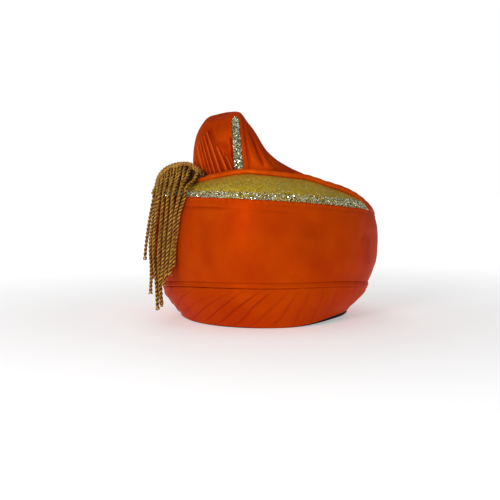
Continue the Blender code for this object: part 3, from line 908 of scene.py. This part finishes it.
def welt_point(angle, share):
    """The welt's rolled fold, with a groove along its middle and a pucker at each stitch."""
    bulge = 0.9 * MM * math.sin(math.pi * min(1.0, share * 0.9 + 0.1)) ** 0.5
    groove = 0.3 * MM * bell(share - 0.5, 0.12)
    pucker = 0.15 * MM * math.sin(math.radians(angle) * 150 + 3 * math.sin(angle))
    reach = WRAP_REACH - 0.1 * MM + bulge - groove + pucker * math.sin(math.pi * share)
    top = seam_height(angle) - GAP + 0.6 * MM
    return placed(angle, reach, top - (WELT_HEIGHT + 0.6 * MM) * (1 - share))


# Soft marks on the side band: places are plan angle over 60, and share of the height.
BAND_CREASES = in_mm(
    (5,),
    # angle, share, angle, share, width, rise in mm
    (-0.78, 0.885, -0.2, 0.905, 0.01, -0.6),
    (-0.2, 0.905, 0.2, 0.885, 0.014, -0.3),
    (-0.62, 0.86, -0.2, 0.87, 0.02, 0.35),
    (-0.16, 0.1, -0.16, 0.95, 0.1, 0.55),
    (-0.4, 0.15, -0.44, 0.8, 0.08, -0.35),
    (-0.55, 0.2, -0.52, 0.7, 0.07, 0.35),
    (0.35, 0.15, 0.3, 0.85, 0.12, -0.35),
    (0.62, 0.1, 0.6, 0.8, 0.09, 0.35),
    (0.95, 0.2, 0.88, 0.7, 0.1, -0.4),
    (1.3, 0.25, 1.25, 0.75, 0.1, 0.4),
    (-0.1, 0.22, 0.1, 0.34, 0.035, 0.25),
)


def make_band():
    """Columns of the band's points, and the painted shade of each, from how deep it lies in a
    crease.
    """
    columns, painted_shades = [], []
    hem = BAND_WALL / 2
    for angle in ring_angles(480):
        corner = hump(angle, 48.0, 66.0, 120.0, 150.0)
        low, high = seam_height(angle) + hem * 0.4, rim_height(angle) - hem - 0.8 * MM * corner
        column, tone = [], []
        for share in spread(0.0, 1.0, 60):
            point = placed(angle, band_reach(share), low + (high - low) * share)
            relief = crease_relief(angle / 60.0, share, BAND_CREASES)
            # Painted shade in the creases.
            tone.append(min(0.5, max(0.0, -relief - 0.1 * MM) / (1.0 * MM)))
            relief += 0.7 * MM * waver(point, 38 * MM, 1.0) + 0.22 * MM * waver(point, 11 * MM, 4.0)
            pucker = 0.22 * MM * math.sin(math.radians(angle) * 118 + 2 * waver(point, 20 * MM))
            relief += pucker * (smooth_step(share, 0.95, 1.0) + 1 - smooth_step(share, 0.0, 0.05))
            relief -= 0.35 * MM * bell((high - point.z) / (1.0 * MM) - 2.0, 1.0)
            relief *= smooth_step(share, -0.05, 0.12)
            relief -= 2.2 * MM * corner * smooth_step(share, 0.78, 1.05) ** 1.5
            column.append(placed(angle, band_reach(share) + relief, point.z))
        columns.append(column)
        painted_shades.append(tone)
    return columns, painted_shades


def shoulder_line(angle):
    """(radius, height) points from behind the band's top edge up to the piping."""
    radius, height = piping_centre(angle)
    start = plan_radius(angle, band_reach(1.0)) - BAND_WALL - GAP
    low = rim_height(angle)
    centre = Vector((radius, height))
    way = (Vector((start, low)) - centre).normalized()
    stop = centre + way * (PIPING_RADIUS + GAP + SHOULDER_WALL / 2)
    points = [(start, low - SHOULDER_TUCK * (1 - k / TUCK_ROWS)) for k in range(TUCK_ROWS)]
    for share in spread(0.0, 1.0, SHOULDER_ROWS):
        turn = math.pi / 2 * share
        across = 0.5 * share + 0.5 * (1 - math.cos(turn))
        upward = 0.5 * share + 0.5 * math.sin(turn)
        points.append((start + (stop.x - start) * across, low + (stop.y - low) * upward))
    return points


def shoulder_span():
    """First and last angle at which the piping stands clear of the band's top edge."""
    clear = [
        angle
        for angle in spread(-150.0, 150.0, 301)
        if piping_centre(angle)[1] - rim_height(angle) > SHOULDER_LEAST
    ]
    return clear[0], min(clear[-1], SHOULDER_LAST)


def shoulder_column(angle):
    """The gold cloth at one angle: gathered along its foot and softly uneven above."""
    column = []
    for r, (radius, height) in enumerate(shoulder_line(angle)):
        point = polar(angle, radius, height)
        if r >= TUCK_ROWS:
            share = (r - TUCK_ROWS) / (SHOULDER_ROWS - 1)
            gather = math.sin(math.radians(angle) * 95 + 5 * waver(point, 25 * MM, 6.0))
            relief = 0.5 * MM * waver(point, 14 * MM, 2.0) + 0.2 * MM * waver(point, 5 * MM, 8.0)
            relief *= math.sin(math.pi * share) ** 0.5
            point = polar(angle, radius + 0.22 * MM * gather * (1 - share) ** 2 + relief, height)
        column.append(point)
    return column


def make_glitter(name, place_of, count, size, seed):
    """Thin six-sided flakes sewn flat on a cloth at chance tilts, as one object."""
    chance = random.Random(seed)
    points, faces, colours = [], [], []
    for _ in range(count):
        middle, out = place_of(chance)
        radius = size * chance.uniform(0.6, 1.15)
        tilt = Vector([chance.gauss(0, 0.45) for _ in range(3)])
        normal = (out + tilt).normalized()
        side = normal.orthogonal().normalized()
        up = normal.cross(side)
        turn = chance.uniform(0, math.pi)
        base, top = len(points), len(points) + 6
        for lift in (0.0, FLAKE_WALL):
            for k in range(6):
                t = turn + k * math.pi / 3
                spoke = (side * math.cos(t) + up * math.sin(t)) * radius
                points.append(middle + spoke + normal * lift)
        faces += [tuple(base + k for k in range(5, -1, -1)), tuple(top + k for k in range(6))]
        faces += [(base + k, base + (k + 1) % 6, top + (k + 1) % 6, top + k) for k in range(6)]
        colours += [chance.choice(FLAKE_GLINT_AND_SHADE_TONES)] * 12
    data = bpy.data.meshes.new(name)
    data.from_pydata([tuple(p) for p in points], [], faces)
    tone = data.color_attributes.new("flake", "FLOAT_COLOR", "POINT")
    tone.data.foreach_set("color", np.asarray(colours, dtype=np.float32).ravel())
    return linked(name, data, glitter)


# Flake colours from near-white to near-black: the near-white ones are partly painted glints, the
# near-black ones painted shade.
FLAKE_GLINT_AND_SHADE_TONES = (
    (1.0, 1.0, 0.9, 1.0),
    (1.0, 1.0, 0.84, 1.0),
    (0.96, 1.0, 0.74, 1.0),
    (0.5, 0.56, 0.28, 1.0),
    (0.14, 0.16, 0.05, 1.0),
    (0.02, 0.03, 0.01, 1.0),
)


def shoulder_place(chance):
    """A chance place in the strip of flakes along the foot of the gold shoulder."""
    first, last = shoulder_span()
    angle = chance.uniform(first + 2.0, min(last - 2.0, GLITTER_LAST))
    fade = smooth_step(angle, -60.0, 60.0)
    rise = GLITTER_HEIGHT * (1 + 0.4 * fade) * chance.random() ** (1.0 + 0.5 * fade)
    line = [Vector(p) for p in shoulder_line(angle)[TUCK_ROWS - 1 :]]
    for here, after in zip(line, line[1:]):
        step = (after - here).length
        if rise <= step:
            spot = here.lerp(after, rise / step)
            run = (after - here).normalized()
            break
        rise -= step
    else:
        spot, run = line[-1], (line[-1] - line[-2]).normalized()
    out = polar(angle, run.y, -run.x).normalized()
    return polar(angle, spot.x, spot.y) + out * 0.25 * MM, out


def stripe_place(chance):
    up = chance.uniform(0.03, STRIPE_TOP - 0.03)
    point, inward, _ = hood_envelope(stripe_line(up, chance.uniform(-0.92, 0.92)), up)
    return point - inward * 0.3 * MM, -inward


def make_piping():
    """Satin folded over a cord, with slanting puckers, and a broad folded edge on the right."""
    angles = ring_angles(900)
    middle = np.array([tuple(polar(angle, *piping_centre(angle))) for angle in angles])
    loops = tube_loops(middle, PIPING_RADIUS, PIPING_SIDES, True)
    for i, angle in enumerate(angles):
        radius, height = piping_centre(angle)
        broad = hump(angle, 12.0, 40.0, 78.0, 110.0)
        full = hump(angle, -55.0, -38.0, -22.0, -4.0)
        flap = hump(angle, 54.0, 62.0, 80.0, 90.0)
        sag = flap * max(0.0, height - PIPING_RADIUS - rim_height(angle) + 0.1 * MM)
        edge = plan_radius(angle, band_reach(1.0)) - 2.1 * MM
        out = flap * max(0.0, edge - radius) * min(1.0, sag / (2.0 * MM))
        sag += 1.3 * MM * hump(angle, -112.0, -104.0, -97.0, -91.0)
        for k in range(PIPING_SIDES):
            turn = 2 * np.pi * k / PIPING_SIDES
            slant = math.radians(angle) * 62 + 1.4 * turn
            pucker = 0.14 * MM * math.sin(slant) + 0.14 * MM * waver(middle[i], 7 * MM, 3.0)
            groove = -0.8 * MM * broad * bell(turn - 5.35, 0.26)
            away = loops[i, k] - middle[i]
            away = away / np.linalg.norm(away)
            loops[i, k] += away * (pucker + groove + 0.4 * MM + 0.4 * MM * full)
            loops[i, k, 2] += 0.5 * MM * broad * math.sin(turn)
            loops[i, k] += np.array(polar(angle, out, -sag)) * max(0.0, -math.sin(turn))
    u = lengths_along(middle, True)
    v = PIPING_RADIUS * 2 * np.pi * np.arange(PIPING_SIDES + 1) / PIPING_SIDES
    return as_object("piping_cloth", *looped(loops, u, v, True), satin_painted_highlight)


def crown_point(angle, share):
    """The crown's top, with gathers near its edge."""
    radius = piping_centre(angle)[0] - PIPING_RADIUS - GAP - CROWN_WALL / 2
    point = polar(angle, radius * share, 0.0)
    gather = 0.3 * MM * math.sin(math.radians(angle) * 64 + 2 * waver(point, 18 * MM, 4.0))
    gather *= hump(share, 0.55, 0.9, 0.96, 1.0)
    point.z = crown_height(point.x, point.y) + gather - 0.3 * MM
    return point


# Hood


def seated(point):
    """The point's place on the hood's underside, just over the crown."""
    return Vector((point.x, point.y, crown_height(point.x, point.y) + HOOD_SEAT))


def hood_fullness(along):
    """Share of the full depth from front to back: steep at the left end, drawn out at the right."""
    if along < HOOD_FULLEST:
        return math.sqrt(1 - (1 - along / HOOD_FULLEST) ** 2)
    return max(0.0, 1 - ((along - HOOD_FULLEST) / (1 - HOOD_FULLEST)) ** 2) ** 0.8


@functools.lru_cache(maxsize=None)
def hood_frame(along):
    """Front foot, ridge, back foot and core of the hood's section at a place along its ridge."""
    angle = FOOT_LEFT + (FOOT_RIGHT - FOOT_LEFT) * along_table(RIDGE, 3, along)
    fullness = hood_fullness(along)
    radius = piping_centre(angle)[0] - PIPING_RADIUS - HOOD_STANDOFF
    front = polar(angle, radius - TAIL_SETBACK * smooth_step(along, 0.72, 1.0), 0.0)
    back = Vector((front.x * HOOD_BACK_NARROWING, front.y + HOOD_DEPTH * fullness, 0.0))
    ridge = Vector((HOOD_MIDDLE + HOOD_HALF_WIDTH * along_table(RIDGE, 1, along), 0.0, 0.0))
    ridge.y = front.y + RIDGE_SETBACK * fullness
    ridge.z = HOOD_BASE + (HOOD_HEIGHT - HOOD_BASE) * along_table(RIDGE, 2, along)
    front, back = seated(front), seated(back)
    ridge.z = max(ridge.z, seated(ridge).z)
    if not fullness:
        ridge = back = front
    return front, ridge, back, seated((front + back) / 2)


def hood_envelope(along, up):
    """Point of the hood's smooth form, and the direction in from it."""
    front, ridge, back, core = hood_frame(along)
    foot = front if up <= 1 else back
    turn = math.pi / 2 * (up if up <= 1 else 2 - up)
    inwards, rise = 1 - math.cos(turn) ** HOOD_LEAN, math.sin(turn) ** HOOD_RISE
    sideways = rise if up <= 1 else inwards
    point = Vector(
        (
            foot.x + (ridge.x - foot.x) * sideways,
            foot.y + (ridge.y - foot.y) * inwards,
            foot.z + (ridge.z - foot.z) * rise,
        )
    )
    inward = core - point
    return point, inward.normalized() if inward.length > 1e-6 else Vector((0, 0, -1)), inward.length


# Soft ridges and valleys of the hood's face, in the hood's own places.
HOOD_CREASES = in_mm(
    (5,),
    # along, up, along, up, width, rise in mm
    (0.505, 0, 0.457, 0.8, 0.013, 1.4),
    (0.535, 0, 0.482, 0.75, 0.015, -0.9),
    (0.652, 0.12, 0.552, 0.65, 0.022, -1.5),
    (0.71, 0.1, 0.59, 0.8, 0.03, 0.9),
    (0.78, 0.08, 0.64, 0.7, 0.018, -0.8),
    (0.86, 0.1, 0.7, 0.85, 0.03, 0.6),
    (0.52, 0.93, 0.96, 0.88, 0.05, 0.8),
    (0.52, 0.78, 0.9, 0.7, 0.05, -0.7),
    (0.38, 0.12, 0.393, 0.36, 0.007, -1.8),
    (0.3, 0.72, 0.4, 0.86, 0.03, -1),
    (0.22, 0.8, 0.33, 0.92, 0.025, 0.8),
    (0.32, 0.45, 0.34, 0.62, 0.014, -0.6),
)


def fold_relief(along, up):
    """Depth below the hood's smooth form and its painted shading: folds, panel and slot."""
    if up > 1.6:
        return 0.0, 0.0
    face = 1 - smooth_step(up, 1.02, 1.5)
    up = min(up, 1.0)
    depth = tone = low = shown = 0.0
    at = along + 0.003 * waver((along * 8, up * 3.0, 0.0), 1.0, 2.0) * math.sin(math.pi * up)
    for foot, high, top, fade, fold_depth in FOLDS:
        line = foot + (high - foot) * up / top
        edge = line + (line - low) * FOLD_DROP
        if low <= at < edge:
            near = 1 - (at - low) / (line - low) if at < line else (at - line) / (edge - line)
            near = min(1.0, near)
            end = top - FOLD_ROUND * near**2
            shown = 1 - smooth_step(up, end - fade, end)
            depth = fold_depth * (0.5 - 0.5 * math.cos(math.pi * near))
            # Painted shade in the fold's valley, and a painted highlight on its crest.
            tone = min(0.8, max(0.0, depth - 1.0 * MM) / (2.6 * MM))
            crest = max(0.0, 1 - near / 0.5)
            tone -= 0.55 * crest * smooth_step(fold_depth, 0.3 * MM, 1.5 * MM)
            break
        low = edge
    panel = along_table(PANEL_EDGE, 1, round(up, 4))
    sunk = 1 - smooth_step(at - panel, 0.0, 0.06)
    sunk *= smooth_step(along, 0.15, 0.27) * (1 - smooth_step(up, 0.56, 0.8))
    depth = depth * shown + PANEL_STEP * sunk * (1 - shown)
    # Painted shade where the panel sinks beside the folds' tops.
    tone = tone * shown + 0.6 * sunk**2 * (1 - shown)
    depth *= smooth_step(along, 0.0, 0.04)
    side = abs(along - stripe_line(up, 0.0)) / (stripe_line(up, 1.0) - stripe_line(up, 0.0))
    slot = 1 - smooth_step(side, 0.92, 1.12)
    slot *= 1 - smooth_step(up, STRIPE_TOP - 0.02, STRIPE_TOP + 0.015)
    # Full painted shade in the stripe's slot.
    return max(depth, 1.5 * MM * slot) * face, (max(tone, slot) if slot else tone) * face


@functools.lru_cache(maxsize=None)
def hood_length(up):
    """Length along the hood at the stripe, for each unit of its place along the ridge."""
    before, after = (hood_envelope(STRIPE_AT + side, up)[0] for side in (-0.01, 0.01))
    return (after - before).length / 0.02


@functools.lru_cache(maxsize=None)
def stripe_line(up, side):
    """Place along the ridge of the stripe's middle, 0, or of its edges, -1 and 1."""
    middle = STRIPE_AT + 0.004 - 0.0135 * max(0.0, 1 - up / 0.5)
    tip = max(0.0, (up - (STRIPE_TOP - 0.17)) / 0.17)
    half = STRIPE_WIDTH / 2 * (0.94 - 0.14 * min(1.0, up / 0.5)) * max(0.16, 1 - tip**2.4)
    return middle + side * half / hood_length(up)


def hood_surface(along, up):
    """A point of the hood's face with its folds, and its painted shading."""
    point, inward, most = hood_envelope(along, up)
    fold, tone = fold_relief(along, up)
    soft = crease_relief(along, min(up, 1.0), HOOD_CREASES) * (1 - smooth_step(up, 1.0, 1.3))
    ends = hump(up, 0.0, 0.06, 1.9, 2.0)
    depth = fold - soft
    depth -= (0.9 * MM * waver(point, 24 * MM, 5.0) + 0.3 * MM * waver(point, 8 * MM, 9.0)) * ends
    behind = smooth_step(up, 1.05, 1.35) * ends
    drape = waver((11.0 * along + 0.8 * up, 1.3 * up, 4.0), 1.0)
    drape += 0.5 * waver((26.0 * along, 1.6 * up, 9.0), 1.0)
    gather = math.sin(150.0 * along + 3.0 * waver(point, 15 * MM, 3.0))
    gather *= smooth_step(up, 1.72, 1.97)
    depth -= (1.5 * MM * drape + 0.35 * MM * gather) * behind
    depth = min(depth * min(1.0, most / (12 * MM)), 0.6 * most)
    # Painted shade in the valleys of the soft creases and of the drape behind.
    for valley in (min(0.6, (-soft - 0.2 * MM) / (1.6 * MM)), min(0.5, -drape - 0.15) * behind):
        tone = max(tone, valley) if valley > 0 else tone
    return point + inward * depth, tone


def hood_columns():
    """Places along the ridge, closest where the folds and the stripe are."""
    columns = spread(0.0, 0.03, 6) + spread(0.033, 0.395, 236)
    return columns + spread(0.397, 0.475, 46) + spread(0.478, 0.62, 60) + spread(0.625, 1.0, 80)


def make_hood():
    """The padded peak, with its underside shaped to the crown."""
    ups = [u / FACE_ROWS for u in range(FACE_ROWS + 1)]
    ups += [1 + u / BACK_ROWS for u in range(1, BACK_ROWS + 1)]
    loops, painted_shadings = [], []
    for along in hood_columns():
        made = [hood_surface(along, up) for up in ups]
        ring = [point for point, _ in made]
        front, _, back, _ = hood_frame(along)
        ring[0], ring[-1] = front, back
        under = [seated(back.lerp(front, share)) for share in (0.1, 0.3, 0.5, 0.7, 0.9)]
        loops.append([tuple(p) for p in ring + under])
        painted_shadings += [tone for _, tone in made] + [0.0] * len(under)
    loops = np.array(loops)
    u = lengths_along(loops[:, FACE_ROWS // 2 + 1])
    v = lengths_along(loops[len(loops) // 3], True)
    faces = looped(loops, np.append(u, u[-1]), v, False)
    return as_object("hood_cloth", *faces, satin_cloth, painted_shadings)


def stripe_point(side, up):
    point, inward, _ = hood_envelope(stripe_line(up, side), up)
    return point + inward * (0.6 * MM - 0.4 * MM * (1 - side * side))


# Tassel


def heading_at(along):
    """Angle, reach and height of the top of the heading."""
    return tuple(along_table(HEADING, column, along) for column in (1, 2, 3))


def cord_path(order, layer, end, flare, angles):
    """Centreline of a cord from inside the heading, over the rim and down to its end."""
    head_angle, reach, crest = heading_at(order)
    drops = tuple((k / (len(angles) - 1), angle) for k, angle in enumerate(angles))
    base = TASSEL_STANDOFF + CORD_RADIUS
    crest_radius = plan_radius(head_angle, reach)
    rim = rim_height(angles[0])
    top = crest - HEADING_RADIUS
    first = max(piping_centre(head_angle)[0] + PIPING_RADIUS + base, crest_radius + 1.2 * MM)
    over = clear_radius(angles[0], rim) + base + LAYER_RISE * layer
    begin = polar(head_angle, first, top - 1.4 * MM)
    finish = polar(angles[0], over, rim)
    points = [polar(head_angle, crest_radius - 0.5 * MM, top + 0.4 * MM), begin]
    for share in (0.3, 0.6):
        here = begin.lerp(finish, share)
        turn = math.degrees(math.atan2(here.x, -here.y))
        least = clear_radius(turn, here.z) + base + LAYER_RISE * layer * share
        points.append(polar(turn, max(math.hypot(here.x, here.y), least), here.z))
    for share in spread(0.0, 1.0, 11):
        height = rim + (end - rim) * share
        angle = along_table(drops, 1, share)
        angle += 0.5 * waver((order * 9, share * 3, layer), 1.0) * share
        hang = clear_radius(angle, height) + base + LAYER_RISE * layer + flare * share
        points.append(polar(angle, hang, height))
    return points


def strands(path, count, strand_radius, circle, pitch, sides, turn_start, fray=0.0, dark=0.0):
    """Strands twisted about a line, as tubes with rounded ends.

    Fray is how much the strands part at the line's end, and dark the length of its start that gets
    painted shade.
    """
    side, up = frames_along(path)
    run = lengths_along(path)
    parts = []
    for k in range(count):
        turn = 2 * np.pi * (run / pitch + k / count) + turn_start
        open_end = 1 + fray * np.clip((run - run[-1] + FRAY_LENGTH) / FRAY_LENGTH, 0, 1) ** 2
        offset = (side * np.cos(turn)[:, None] + up * np.sin(turn)[:, None]) * circle
        line = path + offset * open_end[:, None]
        ends = np.minimum(run, run[-1] - run) / strand_radius
        ends = np.sqrt(np.clip(1 - (1 - np.clip(ends, 0.02, 1)) ** 2, 0.03, 1))
        loops = tube_loops(line, strand_radius * ends, sides)
        u = lengths_along(line)
        v = strand_radius * 2 * np.pi * np.arange(sides + 1) / sides
        # Painted shade on the strands' sides that face the cord's middle.
        near = 1 - np.linalg.norm(loops - path[:, None], axis=2) / (circle + strand_radius)
        tone = np.clip(near * 2.1, 0, 1)
        # Painted shade on the line's start; on the heading this is its end that tucks under the
        # hood.
        if dark:
            tone = np.maximum(tone, np.clip(1.3 - run / dark, 0, 0.85)[:, None])
        parts.append((loops, np.append(u, u[-1]), v, tone))
    return parts


def twisted(name, parts):
    """One object of many strands."""
    points, faces, corners = joined([part[:3] for part in parts])
    painted_shadings = np.concatenate([part[3].ravel() for part in parts])
    return as_object(name, points, faces, corners, gold_thread, painted_shadings)


def make_tassel():
    chance = random.Random(7)
    parts = []
    for cord in TASSEL_CORDS:
        path = resampled(cord_path(*cord), CORD_STEP)
        start = chance.uniform(0, 6.28)
        pitch = STRAND_PITCH * chance.uniform(0.9, 1.1)
        parts += strands(path, 2, STRAND_RADIUS, CORD_RADIUS - STRAND_RADIUS, pitch, 8, start, 0.7)
    return twisted("tassel_cords", parts)


# The roll runs on past both ends of the cords.
HEADING_START = (-32.3, 12.2 * MM, 140.5 * MM)
HEADING_END = (-68.0, 34.8 * MM, 123.5 * MM)


def heading_line(count):
    places = [HEADING_START, *(heading_at(at) for at in spread(0.0, 1.0, count)), HEADING_END]
    return [placed(angle, reach, crest - HEADING_RADIUS) for angle, reach, crest in places]


def make_heading():
    """The thick twisted roll that the cords hang from."""
    path = resampled(heading_line(14), CORD_STEP)
    circle = HEADING_RADIUS - HEADING_STRAND
    parts = strands(path, 3, HEADING_STRAND, circle, HEADING_PITCH, 10, 0.4, 0.0, SHADED_END_LENGTH)
    return twisted("tassel_heading", parts)


def tape_point(along, share):
    """The woven tape that holds the cords' upper ends, from the heading down to the piping."""
    head_angle, reach, crest = heading_at(along)
    turn_end = head_angle + (along_table(TAPE_FOOT, 1, along) - head_angle) * 0.4
    top = crest - HEADING_RADIUS - 1.0 * MM
    low = min(top - 4 * MM, piping_centre(turn_end)[1] - 1.0 * MM)
    turn = head_angle + (turn_end - head_angle) * share
    height = top + (low - top) * share
    clear = max(clear_radius(turn, height), piping_centre(turn)[0] + PIPING_RADIUS)
    hang = max(clear + TASSEL_STANDOFF, plan_radius(head_angle, reach) - 1.0 * MM)
    return polar(turn, hang, height)


# Making the pieces

LINING_ROWS = [0.9998 * r / 33 for r in range(34)]
CROWN_ROWS = [1.0 - 0.995 * r / 29 for r in range(30)]
STRIPE_ROWS = spread(0.015, STRIPE_TOP, 60)
TAPE_COLUMNS = spread(0.02, 0.98, 40)[::-1]
TAPE_ROWS = spread(0.0, 1.0, 10)[::-1]

lining_face = grid(ring_angles(180), LINING_ROWS, lining_point)
lining = cloth("lining_cloth", lining_face, LINING_WALL * 0.9, dark_cotton)
wrap_face, wrap_painted_shades = make_wrap()
wrap = cloth("wrap_cloth", wrap_face, WRAP_THICKNESS, satin_cloth, True, wrap_painted_shades)
welt_face = grid(ring_angles(540), spread(0.0, 1.0, 11), welt_point)
welt = cloth("welt_cloth", welt_face, WELT_WALL * 0.8, satin_cloth)
band_face, band_painted_shades = make_band()
band = cloth("band_cloth", band_face, BAND_WALL * 0.9, satin_cloth, True, band_painted_shades)
shoulder_face = [shoulder_column(angle) for angle in spread(*shoulder_span(), 420)]
shoulder = cloth("shoulder_cloth", shoulder_face, SHOULDER_WALL * 0.8, lame_cloth, False)
piping = make_piping()
crown_face = grid(ring_angles(240), CROWN_ROWS, crown_point)
crown = cloth("crown_cloth", crown_face, CROWN_WALL * 0.8, satin_cloth)
hood = make_hood()
stripe_face = grid(spread(-1.0, 1.0, 13), STRIPE_ROWS, stripe_point)
stripe = cloth("stripe_cloth", stripe_face, 0.8 * MM, lame_stripe, False)
tassel = make_tassel()
heading = make_heading()
tape = cloth("tassel_tape", grid(TAPE_COLUMNS, TAPE_ROWS, tape_point), TAPE_WALL, gold_tape_shaded, False)
strip = make_glitter("shoulder_glitter", shoulder_place, 3600, 0.52 * MM, 3)
stripe_flakes = make_glitter("stripe_glitter", stripe_place, 520, 0.58 * MM, 5)

PIECES = (
    # piece, node, slot
    (lining, "head_lining", "dark_lining"),
    (wrap, "lower_wrap", "orange_satin"),
    (welt, "seam_welt", "orange_satin"),
    (band, "side_band", "orange_satin"),
    (shoulder, "gold_shoulder", "gold_lame"),
    (piping, "rim_piping", "orange_satin"),
    (crown, "crown", "orange_satin"),
    (hood, "pleated_hood", "orange_satin"),
    (stripe, "gold_stripe", "gold_lame"),
    (tassel, "tassel", "gold_cord"),
    (heading, "tassel", "gold_cord"),
    (tape, "tassel", "gold_cord"),
    (strip, "gold_shoulder", "gold_lame"),
    (stripe_flakes, "gold_stripe", "gold_lame"),
)
for piece, node, slot in PIECES:
    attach(piece, "root")
    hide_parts(node)

# Floor, lights and camera

bpy.ops.mesh.primitive_plane_add(size=8.0, location=(0, 2.0, 0))
floor = bpy.context.object
floor.name = "floor"
floor.data.materials.append(floor_painted_glow())

# White behind the object, and a dimmer white all round it.
AMBIENT = 0.28
world = bpy.data.worlds.new("studio")
world.use_nodes = True
tree = world.node_tree
surroundings = tree.nodes["Background"]
surroundings.inputs[0].default_value = (1.0, 1.0, 1.0, 1.0)
surroundings.inputs[1].default_value = AMBIENT
backdrop = tree.nodes.new("ShaderNodeBackground")
backdrop.inputs[0].default_value = (1.0, 1.0, 1.0, 1.0)
backdrop.inputs[1].default_value = 1.0
path = tree.nodes.new("ShaderNodeLightPath")
both = tree.nodes.new("ShaderNodeMixShader")
tree.links.new(path.outputs["Is Camera Ray"], both.inputs[0])
tree.links.new(surroundings.outputs[0], both.inputs[1])
tree.links.new(backdrop.outputs[0], both.inputs[2])
tree.links.new(both.outputs[0], tree.nodes["World Output"].inputs[0])
bpy.context.scene.world = world
bpy.context.scene.view_settings.view_transform = "Standard"

LIGHTS = (
    # name, place, size, power
    ("key", (-0.55, -1.25, 0.42), 0.35, 6.3),
    ("fill", (0.8, -1.1, 0.25), 0.8, 0.4),
    ("top", (-0.1, 0.1, 1.4), 0.9, 2.4),
    ("back", (-0.3, 1.2, 0.9), 0.7, 1.5),
)
for name, place, size, power in LIGHTS:
    light = bpy.data.lights.new(name, "AREA")
    light.size = size
    light.energy = power
    lamp = bpy.data.objects.new(name, light)
    lamp.location = place
    lamp.rotation_euler = (Vector((0, 0, 0.1)) - Vector(place)).to_track_quat("-Z", "Y").to_euler()
    bpy.context.scene.collection.objects.link(lamp)

CAMERA_RISE = math.radians(2.0)
camera_data = bpy.data.cameras.new("camera")
camera_data.lens = 72
camera_data.sensor_width = 36
camera_data.shift_x = -0.03
camera_data.shift_y = -0.072
camera = bpy.data.objects.new("camera", camera_data)
camera.location = (0.0, -math.cos(CAMERA_RISE), 0.1 + math.sin(CAMERA_RISE))
camera.rotation_euler = (math.pi / 2 - CAMERA_RISE, 0.0, 0.0)
bpy.context.scene.collection.objects.link(camera)
bpy.context.scene.camera = camera
